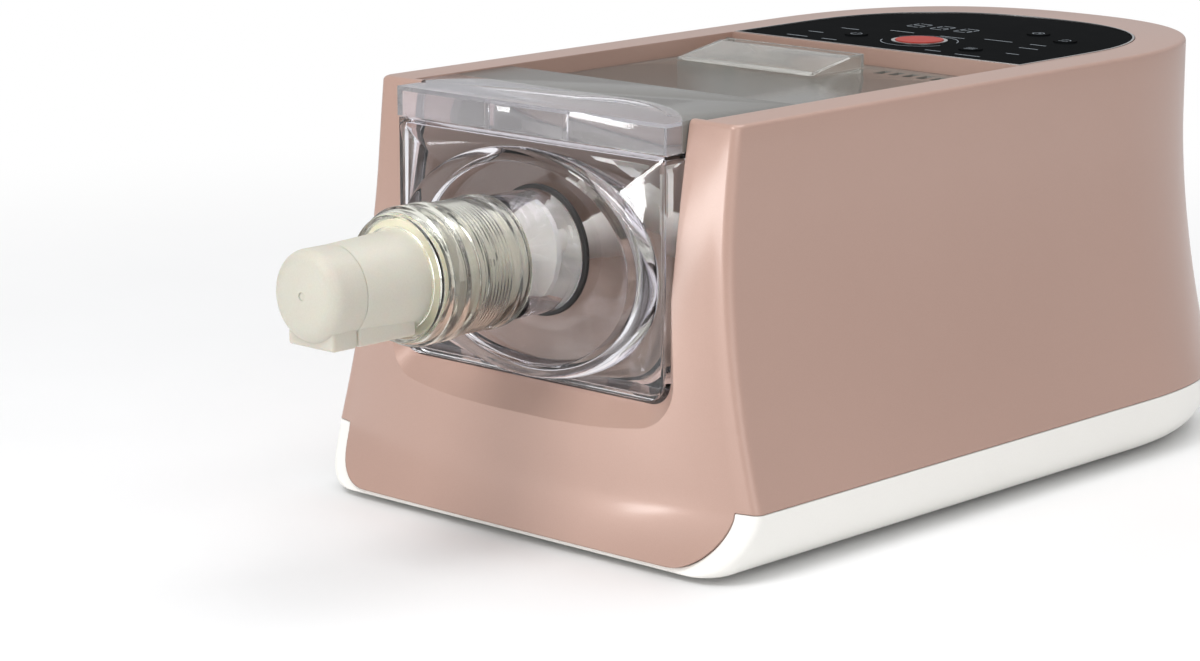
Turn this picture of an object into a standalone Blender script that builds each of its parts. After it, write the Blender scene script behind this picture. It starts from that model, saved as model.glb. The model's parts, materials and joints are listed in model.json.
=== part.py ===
# Electric pasta maker with a front barrel, modelled in metres with +Z up.
# Places are measured from the front face of the housing, on the table under its middle.
import math

import bmesh
import bpy
from mathutils import Matrix, Vector

for stale in list(bpy.data.objects):
    bpy.data.objects.remove(stale, do_unlink=True)

# Walls and clearances that recur
GAP = 0.0003
FIT = 0.0004
OVERRUN = 0.0120
SHELL_WALL = 0.0030
TOP_WALL = 0.0050
TOP_BEVEL = 0.0022
CLEAR_WALL = 0.0025
SLIDE_SPACE = 0.0013
LIP_WALL = 0.0030

# Gear train: the motor at the bottom, the idler over it and the mixing axis on top
WHEEL_TEETH = 36
PINION_TEETH = 12
GEAR_MODULE_OUT = 0.00150
GEAR_MODULE_IN = 0.00125
GEAR_ROOT = 1.2
GEAR_FOOT_SHARE = 0.33
GEAR_TIP_SHARE = 0.12
MOTOR_UNDERSIDE = 0.0405
MOTOR_RADIUS = 0.0320
MOTOR_HEIGHT = MOTOR_UNDERSIDE + MOTOR_RADIUS
IDLER_HEIGHT = MOTOR_HEIGHT + GEAR_MODULE_IN * (WHEEL_TEETH + PINION_TEETH) / 2
AXIS_HEIGHT = IDLER_HEIGHT + GEAR_MODULE_OUT * (WHEEL_TEETH + PINION_TEETH) / 2
FACE_WIDTH = 0.0090
PINION_EXTRA = 0.0010
GEAR_SPACE = 0.0012
TIP_SPACE = 0.0015

# Heights, each from the oval rim of the front cover, which stands a little under the axis
OVAL_SINK = 0.0048
OVAL_OUTER_RISE = 0.0550
OVAL_RIM_RISE = 0.0065
OVAL_MARGIN_TOP = 0.0056
OVAL_MARGIN_FOOT = 0.0007
OVAL_CENTRE = AXIS_HEIGHT - OVAL_SINK
OVAL_INNER_RISE = OVAL_OUTER_RISE - OVAL_RIM_RISE
COVER_TOP = OVAL_CENTRE + OVAL_OUTER_RISE + OVAL_MARGIN_TOP
COVER_BOTTOM = OVAL_CENTRE - OVAL_OUTER_RISE - OVAL_MARGIN_FOOT
WINDOW_SILL = COVER_BOTTOM - SLIDE_SPACE - GAP
LID_BOTTOM = COVER_TOP + 2 * GAP
LID_DEPTH = 0.0145
LID_PANEL_DEPTH = 0.0065
LID_SINK = 0.0006
LID_NOSE_TOP = LID_BOTTOM + LID_DEPTH
LID_PANEL_TOP = LID_BOTTOM + LID_PANEL_DEPTH
BODY_HEIGHT = LID_NOSE_TOP + LID_SINK
LIP_BOTTOM = LID_BOTTOM
CRADLE_TOP = LID_BOTTOM - SLIDE_SPACE
CHAMBER_TOP = COVER_TOP
CHAMBER_SINK = 0.0045
CHAMBER_CENTRE = AXIS_HEIGHT - CHAMBER_SINK
CHAMBER_DROP = CHAMBER_CENTRE - WINDOW_SILL - GAP

# Widths, each from the window's
WINDOW_HALF = 0.0885
COVER_HALF = WINDOW_HALF - SLIDE_SPACE
CHAMBER_HALF = COVER_HALF - GAP
LID_NOSE_HALF = WINDOW_HALF - 2 * GAP
TROUGH_STEP = 0.0070
TROUGH_HALF = WINDOW_HALF + TROUGH_STEP
LID_HALF = TROUGH_HALF - 2 * GAP
SIDE_BAND = 0.0217
BODY_WIDTH = 2 * (TROUGH_HALF + SIDE_BAND)
OVAL_RIM_WIDTH = 0.0165
OVAL_MARGIN_SIDE = 0.0027
OVAL_OUTER_HALF = COVER_HALF - OVAL_MARGIN_SIDE
OVAL_INNER_HALF = OVAL_OUTER_HALF - OVAL_RIM_WIDTH

# Lengths, each from the chamber's
CHAMBER_FRONT = 0.0010
CHAMBER_LENGTH = 0.2370
CHAMBER_BACK = CHAMBER_FRONT + CHAMBER_LENGTH
REAR_BAY = 0.1986
REAR_ROUNDING = 0.1387
BODY_LENGTH = CHAMBER_BACK + REAR_BAY
TROUGH_SPACE = 0.0038
TROUGH_REAR = CHAMBER_BACK + TROUGH_SPACE
HINGE_SWING = 0.0018
LID_REAR = TROUGH_REAR - HINGE_SWING

# Body
SEAM_HEIGHT = 0.0335
BASE_UNDERSIDE = 0.0035
FLARE_DROP = 0.0400
FLARE_START = BODY_HEIGHT - FLARE_DROP
SIDE_FLARE = 0.0230
REAR_FLARE = 0.0090
FRONT_LEAN = 0.0095
FRONT_BOW = 0.0160
BASE_TUCK = 0.0165
FRONT_TUCK = 0.0040
CORNER_FILLET = 0.0050
TOE_REACH = 0.0315
TOE_FILLET = 0.0080
TONGUE_OVERLAP = 0.0113
TONGUE_HALF = BODY_WIDTH / 2 + TONGUE_OVERLAP
TONGUE_LIFT = 0.0027
TONGUE_GAP = 0.0009
TONGUE_BOTTOM = BASE_UNDERSIDE + TONGUE_LIFT
TONGUE_CORNER = SEAM_HEIGHT - TONGUE_BOTTOM
BASE_FLOOR = 0.0030
BASE_WALL = 0.0028

# Front window
WINDOW_CORNER = 0.0120
FRAME_BAND = 0.0140
FRAME_FRONT = 0.0300
FRAME_BACK = 0.0035
DISH_FLOOR = 0.0125
DISH_SPREAD = 0.0310
DISH_REACH = 0.0235

# Cradle
CRADLE_CLEARANCE = 0.0010
CRADLE_WALL = 0.0025
CRADLE_FRONT = FRAME_BACK + 2 * GAP
CRADLE_REAR_SPACE = 0.0010
LEDGE_THICKNESS = 0.0025
POST_RADIUS = 0.0060
POST_SIDE = 0.0485
POST_X = WINDOW_HALF - POST_SIDE
POST_INSET = 0.0330
POST_FRONT = CHAMBER_FRONT + POST_INSET
POST_REAR = CHAMBER_BACK - POST_INSET

# Front cover
COVER_CORNER = 0.0110
COVER_FRONT = 0.0160
COVER_SPACE = 0.0016
OVAL_DEPTH = 0.0045
OVAL_ROUND = 0.0040
OVAL_RIM_SHARES = [(0, 0), (0, 0.55), (0.3, 0.88), (1, 1)]
CUP_HALF = OVAL_INNER_HALF + CLEAR_WALL
CUP_RISE = OVAL_INNER_RISE + CLEAR_WALL
CUP_BACK = 0.0060

# Barrel, nut and nozzle, outwards from the auger's bore
BARREL_BORE = 0.0243
THREAD_RISE = 0.0012
BARREL_WALL = 0.0027
THREAD_ROOT = BARREL_BORE + BARREL_WALL
BARREL_THREAD_RADIUS = THREAD_ROOT + THREAD_RISE
THREAD_TURNS = 4
THREAD_PITCH = 0.0070
THREAD_WIDTH = 0.0026
GASKET_BORE = BARREL_THREAD_RADIUS
BOSS_STEP = 0.0018
BARREL_BOSS_RADIUS = GASKET_BORE + BOSS_STEP
GASKET_STEP = 0.0038
GASKET_RADIUS = BARREL_BOSS_RADIUS + GASKET_STEP
GASKET_THICKNESS = 0.0028
BARREL_SHOULDER = 0.0450
BARREL_REACH = 0.0950
FEED_FLARE = 0.0018
NUT_WALL = 0.0027
NUT_RADIUS = BARREL_THREAD_RADIUS + FIT + NUT_WALL
NUT_RIDGE = 0.0015
NUT_NOSE = 0.0016
NUT_LIP = 0.0042
NUT_LIP_CLEARANCE = 0.0012
NUT_RIDGE_PLACES = [(0.0068, 0.0074), (0.0172, 0.0080)]
NUT_BEAD = 0.0060
NOZZLE_WALL = 0.0039
NOZZLE_STEP = 0.0014
NOZZLE_TAPER = 0.0014
NOZZLE_RADIUS = BARREL_BORE - NOZZLE_STEP
NOZZLE_TIP_RADIUS = NOZZLE_RADIUS - NOZZLE_TAPER
NOZZLE_BORE = NOZZLE_RADIUS - NOZZLE_WALL
NOZZLE_FLANGE_RADIUS = BARREL_THREAD_RADIUS - 2 * FIT
NOZZLE_FLANGE = 0.0033
NOZZLE_LENGTH = 0.0412
CAP_LENGTH = 0.0215
CAP_SPIGOT = 0.0050
CAP_SPIGOT_WALL = 0.0022
CAP_ROUND = 0.0060
CAP_ROUND_STEPS = 4
CAP_FACE = 0.0025
KEEL_SPACE = 0.0060
DIMPLE_RADIUS = 0.0022
DIMPLE_DEPTH = 0.0008
DIMPLE_X = -0.0020
DIMPLE_RISE = 0.0070
RAIL_SPACE = 0.0010
RAIL_HALF = 0.0150
RAIL_EXTRA = 0.0050
RAIL_DROP = NOZZLE_BORE + RAIL_EXTRA
RAIL_SHARE = 0.7
DIE_SIDE = 0.0030
DIE_HALF = RAIL_HALF - DIE_SIDE
DIE_OPENING_STEP = 0.0022
DIE_OPENING = DIE_HALF - DIE_OPENING_STEP
DIE_THICKNESS = 0.0028
DIE_DROP = NOZZLE_BORE - FIT
DIE_LENGTH = 0.0340
DIE_MARGIN = 0.0030
DIE_HOLE_RADIUS = 0.0013
DIE_HOLE_PITCH = 0.0048
DIE_HOLE_STEPS = 10
DIE_ROWS = 3
DIE_HOLES_PER_ROW = 6

# Mixing paddle and auger
AUGER_CLEARANCE = 0.0008
AUGER_RADIUS = BARREL_BORE - AUGER_CLEARANCE
AUGER_SHAFT_RADIUS = 0.0075
AUGER_SPACE = 0.0045
AUGER_FRONT = BARREL_REACH - AUGER_SPACE
AUGER_BACK = 0.0120
AUGER_PITCH = 0.0215
AUGER_FLIGHT = 0.0030
AUGER_ROOT = 0.0010
SPIGOT_LENGTH = 0.0160
SPIGOT_HALF = 0.0035
HUB_RADIUS = 0.0110
HUB_TAIL_RADIUS = 0.0088
ARM_REACH = 0.0450
ARM_HALF = 0.0065
ARM_THICKNESS = 0.0050
ARM_BAR = 0.0110
ARM_COUNT = 4
ARM_START = 0.0450
ARM_END_SPACE = 0.0490
HEX_RADIUS = 0.0062
HEX_DEPTH = 0.0125
SEAL_STEP = 0.0027
SEAL_RADIUS = HUB_TAIL_RADIUS + SEAL_STEP
SEAL_FLANGE = 0.0020

# Drive behind the chamber
SHAFT_RADIUS = 0.0070
PLATE_THICKNESS = 0.0030
CASE_DEPTH = 0.0330
CASE_WALL = 0.0030
CASE_HALF = GEAR_MODULE_OUT * (WHEEL_TEETH / 2 + 1) + TIP_SPACE + CASE_WALL
CASE_SKIRT = 0.0140
PIN_RADIUS = 0.0030
BEARING_WALL = 0.0040
BEARING_RADIUS = SHAFT_RADIUS + BEARING_WALL
BEARING_WIDTH = 0.0050
MOTOR_LENGTH = 0.0720
MOTOR_SHAFT_RADIUS = 0.0028
MOTOR_NECK_RADIUS = 0.0100
BRACKET_THICKNESS = 0.0030
BRACKET_SIDE = 0.0040
BRACKET_HALF = MOTOR_RADIUS + BRACKET_SIDE
BRACKET_RISE = 0.0200
BRACKET_POST_X = 0.0260
BRACKET_FOOT_LENGTH = 0.0280
MOTOR_NECK = BRACKET_THICKNESS + GAP
FAN_SPACE = 0.0030
FAN_STEP = 0.0040
FAN_RADIUS = MOTOR_RADIUS - FAN_STEP
FAN_WIDTH = 0.0120
FAN_HUB = 0.0080
FAN_BLADES = 7
BLADE_THICKNESS = 0.0016

# Lid
LID_FRONT = COVER_FRONT
LID_STEP = 0.0700
LATCH_HALF = 0.0255
LATCH_RIB = 0.0030
LATCH_PROUD = 0.0012
LATCH_LIFT = 0.0020
HINGE_INSET = 0.0025
HINGE_RISE = 0.0025
HINGE_BACK = LID_REAR - HINGE_INSET
HINGE_HEIGHT = LID_PANEL_TOP + HINGE_RISE
HINGE_PIN_RADIUS = 0.0016
HINGE_EAR = 0.0036
CREST_POINTS = [(-0.0010, 0.0180), (0.0300, 0.0420), (0.0730, 0.0030)]
CREST_HALF = 0.0012
CREST_RISE = 0.0004
INLET_WALL = 0.0015
INLET_LAND = 0.0060
INLET_SIDE = 0.0035
INLET_LEFT = WINDOW_HALF - INLET_SIDE
INLET_RIGHT = 0.0060
INLET_LENGTH = 0.0440
INLET_SETBACK = 0.0110
INLET_REAR = LID_REAR - INLET_SETBACK
INLET_FRONT = INLET_REAR - INLET_LENGTH
INLET_RISE = 0.0075
INLET_TOP = LID_PANEL_TOP + INLET_RISE
INLET_SLOT = 0.0100
STEAM_COUNT = 6
STEAM_SIDE = 0.0185
STEAM_FIRST = WINDOW_HALF - STEAM_SIDE
STEAM_PITCH = 0.0090
STEAM_WIDTH = 0.0050
STEAM_LENGTH = 0.0100
MAGNET_RADIUS = 0.0030
MAGNET_THICKNESS = 0.0020
MAGNET_BACK = 0.1000
REED_HALF = 0.0030
REED_RISE = 0.0060

# Control panel
PANEL_SPACE = 0.0010
PANEL_HALF = TROUGH_HALF
PANEL_FRONT = TROUGH_REAR + PANEL_SPACE
PANEL_REACH = 0.1065
PANEL_RECESS = 0.0026
PANEL_LEDGE = 0.0060
TRIM_WIDTH = 0.0013
TRIM_PROUD = 0.0003
START_SETBACK = 0.0402
START_BACK = PANEL_FRONT + START_SETBACK
START_RADIUS = 0.0128
START_RING = 0.0016
START_PROUD = 0.0007
KEY_RADIUS = 0.0062
KEY_PROUD = 0.0003
BUTTON_FLANGE = 0.0012
BUTTON_SKIRT = 0.0010
BUTTON_TRAVEL = 0.0010
KEY_SETBACKS = {
    "power_key": (-0.0404, 0.0372),
    "program_key": (0.0400, 0.0322),
    "time_key": (0.0310, 0.1042),
    "weight_key": (0.0586, 0.0902),
}
BOARD_THICKNESS = 0.0016
BOARD_DROP = 0.0135
BOARD_HEIGHT = BODY_HEIGHT - BOARD_DROP
BOSS_RADIUS = 0.0030
BOARD_INSET = 0.0025
BOARD_HALF = PANEL_HALF - BOARD_INSET
BOARD_SETBACK = 0.0152
BOARD_FRONT = PANEL_FRONT + BOARD_SETBACK
BOARD_BOSS_PITCH = 0.0420
BOARD_REAR = BOARD_FRONT + BOARD_BOSS_PITCH
BOARD_LENGTH = 0.1000
SWITCH_HALF = 0.0030
DISPLAY_LEFT = 0.0530
DISPLAY_RIGHT = 0.0150
DISPLAY_SETBACK = 0.0772
DISPLAY_LENGTH = 0.0250

# Feet, power board and rear fittings
FOOT_RADIUS = 0.0110
FOOT_INSET = 0.0015
FOOT_SIDE = 0.0292
FOOT_X = BODY_WIDTH / 2 - FOOT_SIDE
FOOT_FRONT = 0.0200
FOOT_SETBACK = 0.0766
FOOT_REAR = BODY_LENGTH - FOOT_SETBACK
POWER_BOARD_LIFT = 0.0135
POWER_BOARD_HEIGHT = BASE_UNDERSIDE + BASE_FLOOR + POWER_BOARD_LIFT
POWER_BOARD_SIDE = 0.0192
POWER_BOARD_WIDTH = 0.0500
POWER_BOARD_SETBACK = 0.0220
POWER_BOARD_LENGTH = 0.0900
TRANSFORMER_LENGTH = 0.0300
TRANSFORMER_RISE = 0.0250
CAPACITOR_RADIUS = 0.0090
INLET_SOCKET_HALF = 0.0150
INLET_SOCKET_RISE = 0.0105
INLET_SOCKET_LIFT = 0.0285
INLET_SOCKET_HEIGHT = SEAM_HEIGHT + INLET_SOCKET_LIFT
INLET_FLANGE = 0.0030
SOCKET_DEPTH = 0.0280
SOCKET_PINS = [(-0.0070, -0.0015), (0.0070, -0.0015), (0, 0.0025)]
PIN_HALF = 0.0010
PIN_RISE = 0.0020
VENT_HALF = 0.0440
VENT_STEP = 0.0021
VENT_SLOT = 0.0030
VENT_PITCH = 0.0070
VENT_RISE = 0.0275
VENT_LOW = MOTOR_HEIGHT + VENT_RISE
VENT_COUNT = 9

# Curve exponents and step counts
REAR_EXPONENT = 2.4
TUB_EXPONENT = 3.0
LEAN_EXPONENT = 2.1
FLARE_EXPONENT = 1.8
BOW_EXPONENT = 3.0
TOE_EXPONENT = 1.6
FRONT_STEPS = 14
REAR_STEPS = 30
TOE_LEVELS = 4
LOWER_LEVELS = 6
FILLET_STEPS = 3
UPPER_LEVELS = 2
RIM_STEPS = 2
BASE_LEVELS = 5
CORNER_STEPS = 5
TUB_STEPS = 28
HELIX_STEPS = 18
ROUND_STEPS = 40
SMALL_STEPS = 20

NOZZLE_TIP = BARREL_REACH + NOZZLE_FLANGE + NOZZLE_LENGTH + CAP_LENGTH + 4 * GAP
FRONT_Y = (NOZZLE_TIP - BODY_LENGTH - REAR_FLARE) / 2

parts = bpy.data.collections.new("pasta_maker")
tools = bpy.data.collections.new("cutters")
bpy.context.scene.collection.children.link(parts)
bpy.context.scene.collection.children.link(tools)
boolean_steps = []


places = {"machine": Vector((0, 0, 0))}
machine = bpy.data.objects.new("machine", None)
machine.location = (0, FRONT_Y, 0)
parts.objects.link(machine)


def pivot(name, x, y, z, parent=machine):
    """An empty on a joint axis, which the pieces of one moving body hang from."""
    empty = bpy.data.objects.new(name, None)
    empty.empty_display_size = CORNER_FILLET
    parts.objects.link(empty)
    empty.parent = parent
    empty.matrix_parent_inverse = Matrix.Translation(-places[parent.name])
    empty.location = (x, y, z)
    places[name] = Vector((x, y, z))
    return empty


def tool(name, mesh):
    """A raw shape: it stays a cutter unless piece() makes it a part."""
    shape = bpy.data.objects.new(name, mesh)
    tools.objects.link(shape)
    shape.parent = machine
    shape.hide_render = True
    shape.display_type = "WIRE"
    return shape


def from_bmesh(name, bm):
    mesh = bpy.data.meshes.new(name)
    bm.normal_update()
    bm.to_mesh(mesh)
    bm.free()
    return tool(name, mesh)


def box(name, x0, x1, y0, y1, z0, z1):
    bm = bmesh.new()
    bmesh.ops.create_cube(bm, size=1)
    size = Matrix.Diagonal((x1 - x0, y1 - y0, z1 - z0, 1))
    middle = Matrix.Translation(((x0 + x1) / 2, (y0 + y1) / 2, (z0 + z1) / 2))
    bmesh.ops.transform(bm, matrix=middle @ size, verts=bm.verts)
    return from_bmesh(name, bm)


def rod(name, radius, low, high, x=0, other=0, along="Y", steps=SMALL_STEPS, tip_radius=None):
    """A cylinder or cone along Y at (x, z=other), or along Z at (x, y=other)."""
    bm = bmesh.new()
    tip = radius if tip_radius is None else tip_radius
    bmesh.ops.create_cone(bm, cap_ends=True, segments=steps, radius1=radius, radius2=tip,
                          depth=high - low)
    middle = (low + high) / 2
    if along == "Y":
        place = Matrix.Translation((x, middle, other)) @ Matrix.Rotation(-math.pi / 2, 4, "X")
    else:
        place = Matrix.Translation((x, other, middle))
    bmesh.ops.transform(bm, matrix=place, verts=bm.verts)
    return from_bmesh(name, bm)


def slab(name, outlines, low, high, along="Z"):
    """A flat 2D curve with its holes, extruded along Z, Y for (x, z) or X for (y, z) outlines."""
    curve = bpy.data.curves.new(name, "CURVE")
    curve.dimensions = "2D"
    curve.fill_mode = "BOTH"
    curve.extrude = (high - low) / 2
    for outline in outlines:
        spline = curve.splines.new("POLY")
        spline.points.add(len(outline) - 1)
        for point, (across, up) in zip(spline.points, outline):
            point.co = (across, up, 0, 1)
        spline.use_cyclic_u = True
    guide = bpy.data.objects.new(name, curve)
    tools.objects.link(guide)
    graph = bpy.context.evaluated_depsgraph_get()
    flat = bpy.data.meshes.new_from_object(guide.evaluated_get(graph))
    bm = bmesh.new()
    bm.from_mesh(flat)
    bmesh.ops.remove_doubles(bm, verts=bm.verts, dist=GAP / 30)
    middle = (low + high) / 2
    if along == "Y":
        place = Matrix.Translation((0, middle, 0)) @ Matrix.Rotation(math.pi / 2, 4, "X")
    elif along == "X":
        turn = Matrix.Rotation(math.pi / 2, 4, "Z") @ Matrix.Rotation(math.pi / 2, 4, "X")
        place = Matrix.Translation((middle, 0, 0)) @ turn
    else:
        place = Matrix.Translation((0, 0, middle))
    bmesh.ops.transform(bm, matrix=place, verts=bm.verts)
    bmesh.ops.recalc_face_normals(bm, faces=bm.faces)
    bpy.data.objects.remove(guide)
    bpy.data.meshes.remove(flat)
    return from_bmesh(name, bm)


def loft(name, rings, closed=False):
    """A skin through rings of as many points each, capped at its ends unless it is closed."""
    bm = bmesh.new()
    rows = [[bm.verts.new(point) for point in ring] for ring in rings]
    pairs = list(zip(rows, rows[1:]))
    if closed:
        pairs.append((rows[-1], rows[0]))
    for lower, upper in pairs:
        for here in range(len(lower)):
            after = (here + 1) % len(lower)
            bm.faces.new((lower[here], lower[after], upper[after], upper[here]))
    if not closed:
        bm.faces.new(rows[0][::-1])
        bm.faces.new(rows[-1])
    bmesh.ops.recalc_face_normals(bm, faces=bm.faces)
    return from_bmesh(name, bm)


def turned(name, profile, z=AXIS_HEIGHT, steps=ROUND_STEPS, closed=True):
    """A profile of (radius, y), front to back down its outer side, turned about an axis along Y."""
    bm = bmesh.new()
    verts = [bm.verts.new((radius, 0, -y)) for radius, y in profile]
    for here, after in zip(verts, verts[1:]):
        bm.edges.new((here, after))
    if closed:
        bm.edges.new((verts[-1], verts[0]))
    shape = from_bmesh(name, bm)
    shape.location = (0, 0, z)
    shape.rotation_euler = (math.pi / 2, 0, 0)
    screw = shape.modifiers.new("turn", "SCREW")
    screw.axis = "Z"
    screw.steps = steps
    screw.render_steps = steps
    screw.use_merge_vertices = True
    screw.merge_threshold = 0.0001
    screw.use_smooth_shade = True
    return shape


def subtract(target, *cutters):
    for cutter in cutters:
        boolean_steps.append((target, cutter, "DIFFERENCE"))
    return target


def unite(target, *others):
    for other in others:
        boolean_steps.append((target, other, "UNION"))
    return target


def intersect(target, *others):
    for other in others:
        boolean_steps.append((target, other, "INTERSECT"))
    return target


def finish(name, colour, roughness, metallic=0.0, transmission=0.0):
    """A Principled material with the piece's colour, roughness and metallic value."""
    material = bpy.data.materials.new(name)
    material.use_nodes = True
    shader = material.node_tree.nodes["Principled BSDF"]
    shader.inputs["Base Color"].default_value = (*colour, 1)
    shader.inputs["Roughness"].default_value = roughness
    shader.inputs["Metallic"].default_value = metallic
    shader.inputs["Transmission Weight"].default_value = transmission
    material.diffuse_color = (*colour, 1)
    return material


def piece(name, shape, material, holder=machine, smooth=True):
    """Make a raw shape one named sub-part, hung from its body's pivot."""
    shape.name = name
    shape.data.name = name
    tools.objects.unlink(shape)
    parts.objects.link(shape)
    shape.hide_render = False
    shape.display_type = "TEXTURED"
    shape.parent = holder
    shape.matrix_parent_inverse = Matrix.Translation(-places[holder.name])
    shape.data.materials.append(material)
    if smooth and shape.data.polygons:
        shape.data.shade_smooth()
        shape.data.set_sharp_from_angle(angle=math.radians(32))
    return shape


# Outlines
def lean_share(z):
    return 1 - (max(0, z) / BODY_HEIGHT) ** LEAN_EXPONENT


def flare_share(z):
    return max(0, (FLARE_START - z) / (FLARE_START - SEAM_HEIGHT)) ** FLARE_EXPONENT


def power(value, exponent):
    return math.copysign(abs(value) ** (2 / exponent), value)


def toe_share(z):
    height = (SEAM_HEIGHT - z) / (SEAM_HEIGHT - BASE_UNDERSIDE)
    return min(1, max(0, height)) ** TOE_EXPONENT


def body_front(x, z, half):
    bow = 1 - min(1, abs(x) / half) ** BOW_EXPONENT
    y = -lean_share(z) * (FRONT_LEAN + FRONT_BOW * bow)
    return y - (TOE_REACH + y) * toe_share(z)


def body_ring(z, inset=0, front_inset=None, tuck=0, front_tuck=0, side_z=None):
    """The housing's outline at one height: bowed front, straight sides and rounded rear."""
    flare_z = z if side_z is None else side_z
    front_step = inset if front_inset is None else front_inset
    half = BODY_WIDTH / 2 + SIDE_FLARE * flare_share(flare_z)
    inner = half - inset - tuck
    reach = REAR_ROUNDING + REAR_FLARE * flare_share(flare_z) - inset - tuck
    fillet = CORNER_FILLET + TOE_FILLET * toe_share(z)
    edge = inner - fillet
    ring = []
    for step in range(FRONT_STEPS + 1):
        x = edge * (2 * step / FRONT_STEPS - 1)
        ring.append((x, body_front(x, z, half) + front_step + front_tuck, z))
    corner_y = ring[-1][1]
    bends = []
    for step in range(1, FILLET_STEPS + 1):
        angle = math.pi / 2 * step / FILLET_STEPS
        bends.append((edge + fillet * math.sin(angle), corner_y + fillet * (1 - math.cos(angle))))
    ring += [(x, y, z) for x, y in bends]
    for step in range(REAR_STEPS + 1):
        angle = math.pi * step / REAR_STEPS
        x = inner * power(math.cos(angle), REAR_EXPONENT)
        y = BODY_LENGTH - REAR_ROUNDING + reach * power(math.sin(angle), REAR_EXPONENT)
        ring.append((x, y, z))
    ring += [(-x, y, z) for x, y in reversed(bends)]
    return ring


def body_loft(name, low, high, inset=0, rim=0):
    """The housing's flared shape between two heights, with a rounded top rim."""
    toe_top = SEAM_HEIGHT + 2 * GAP
    heights = [BASE_UNDERSIDE + (toe_top - BASE_UNDERSIDE) * step / TOE_LEVELS
               for step in range(TOE_LEVELS)]
    heights += [toe_top + (FLARE_START - toe_top) * step / LOWER_LEVELS
                for step in range(LOWER_LEVELS)]
    heights = [low] + [z for z in heights if z > low + GAP]
    rings = [body_ring(z, inset) for z in heights]
    for step in range(UPPER_LEVELS):
        z = FLARE_START + (high - rim - FLARE_START) * step / UPPER_LEVELS
        rings.append(body_ring(z, inset))
    if rim:
        for step in range(RIM_STEPS):
            angle = math.pi / 2 * step / RIM_STEPS
            z = high - rim + rim * math.sin(angle)
            rings.append(body_ring(z, inset + rim * (1 - math.cos(angle))))
    rings.append(body_ring(high, inset + rim))
    return loft(name, rings)


def base_loft(name, low, high, inset, front_inset):
    """The base tray's shape, rounded under like the quarter of an ellipse."""
    rings = []
    for step in range(BASE_LEVELS + 1):
        angle = math.pi / 2 * step / BASE_LEVELS
        under = 1 - math.sin(angle)
        z = high - (high - low) * math.cos(angle)
        tuck = BASE_TUCK * under
        rings.append(body_ring(z, inset, front_inset, tuck, FRONT_TUCK * under, SEAM_HEIGHT))
    return rings


def rounded_bottom(half, low, high, corner):
    """An upright rectangle in (x, z) whose two lower corners are rounded."""
    outline = []
    for side, start in ((-1, math.pi), (1, math.pi * 3 / 2)):
        for step in range(CORNER_STEPS + 1):
            angle = start + math.pi / 2 * step / CORNER_STEPS
            x = side * (half - corner) + corner * math.cos(angle)
            outline.append((x, low + corner + corner * math.sin(angle)))
    outline.append((half, high))
    outline.append((-half, high))
    return outline


def oval(half, rise, x=0, z=0, steps=ROUND_STEPS):
    return [(x + half * math.cos(2 * math.pi * step / steps),
             z + rise * math.sin(2 * math.pi * step / steps)) for step in range(steps)]


def rectangle(x0, x1, z0, z1):
    return [(x0, z0), (x1, z0), (x1, z1), (x0, z1)]


def capsule(half, low, high):
    """A tall outline in (x, z) with a round top and a rounded bottom."""
    outline = rounded_bottom(half, low, high - half, half / 2)[:-2]
    for step in range(TUB_STEPS // 2 + 1):
        angle = math.pi * 2 * step / TUB_STEPS
        outline.append((half * math.cos(angle), high - half + half * math.sin(angle)))
    return outline


def arc_band(points, half):
    """A narrow band in (x, y) along a curve through its first and last points."""
    (x0, y0), (x1, y1), (x2, y2) = points
    centre_line = []
    for step in range(TUB_STEPS + 1):
        share = step / TUB_STEPS
        first, middle, last = (1 - share) ** 2, 2 * share * (1 - share), share ** 2
        centre_line.append(Vector((first * x0 + middle * x1 + last * x2,
                                   first * y0 + middle * y1 + last * y2)))
    left, right = [], []
    for step, point in enumerate(centre_line):
        before = centre_line[max(step - 1, 0)]
        after = centre_line[min(step + 1, TUB_STEPS)]
        across = (after - before).normalized().orthogonal() * half
        left.append(tuple(point + across))
        right.append(tuple(point - across))
    return left + right[::-1]


def tub_outline(grow, top):
    """The mixing chamber's section in (x, z): upright sides over a rounded floor."""
    half = CHAMBER_HALF + grow
    drop = CHAMBER_DROP + grow
    outline = []
    for step in range(TUB_STEPS + 1):
        angle = math.pi + math.pi * step / TUB_STEPS
        x = half * power(math.cos(angle), TUB_EXPONENT)
        outline.append((x, CHAMBER_CENTRE + drop * power(math.sin(angle), TUB_EXPONENT)))
    outline.append((half, top))
    outline.append((-half, top))
    return outline


def tub_floor(x, grow):
    """The height of the tub outline's floor at one place across."""
    level = 1 - (abs(x) / (CHAMBER_HALF + grow)) ** TUB_EXPONENT
    return CHAMBER_CENTRE - (CHAMBER_DROP + grow) * level ** (1 / TUB_EXPONENT)


def panel_outline(inset):
    """The control panel's outline in (x, y): square at the front and round at the rear."""
    half = PANEL_HALF - inset
    reach = PANEL_REACH - inset
    outline = [(-half, PANEL_FRONT + inset), (half, PANEL_FRONT + inset)]
    for step in range(REAR_STEPS + 1):
        angle = math.pi * step / REAR_STEPS
        x = half * power(math.cos(angle), REAR_EXPONENT)
        y = BODY_LENGTH - REAR_ROUNDING + reach * power(math.sin(angle), REAR_EXPONENT)
        outline.append((x, y))
    return outline


def spun(shape, turn):
    """Turn a raw shape about the barrel axis."""
    centre = Matrix.Translation((0, 0, AXIS_HEIGHT))
    rotation = Matrix.Rotation(turn, 4, "Y")
    shape.data.transform(centre @ rotation @ centre.inverted())
    return shape


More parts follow.
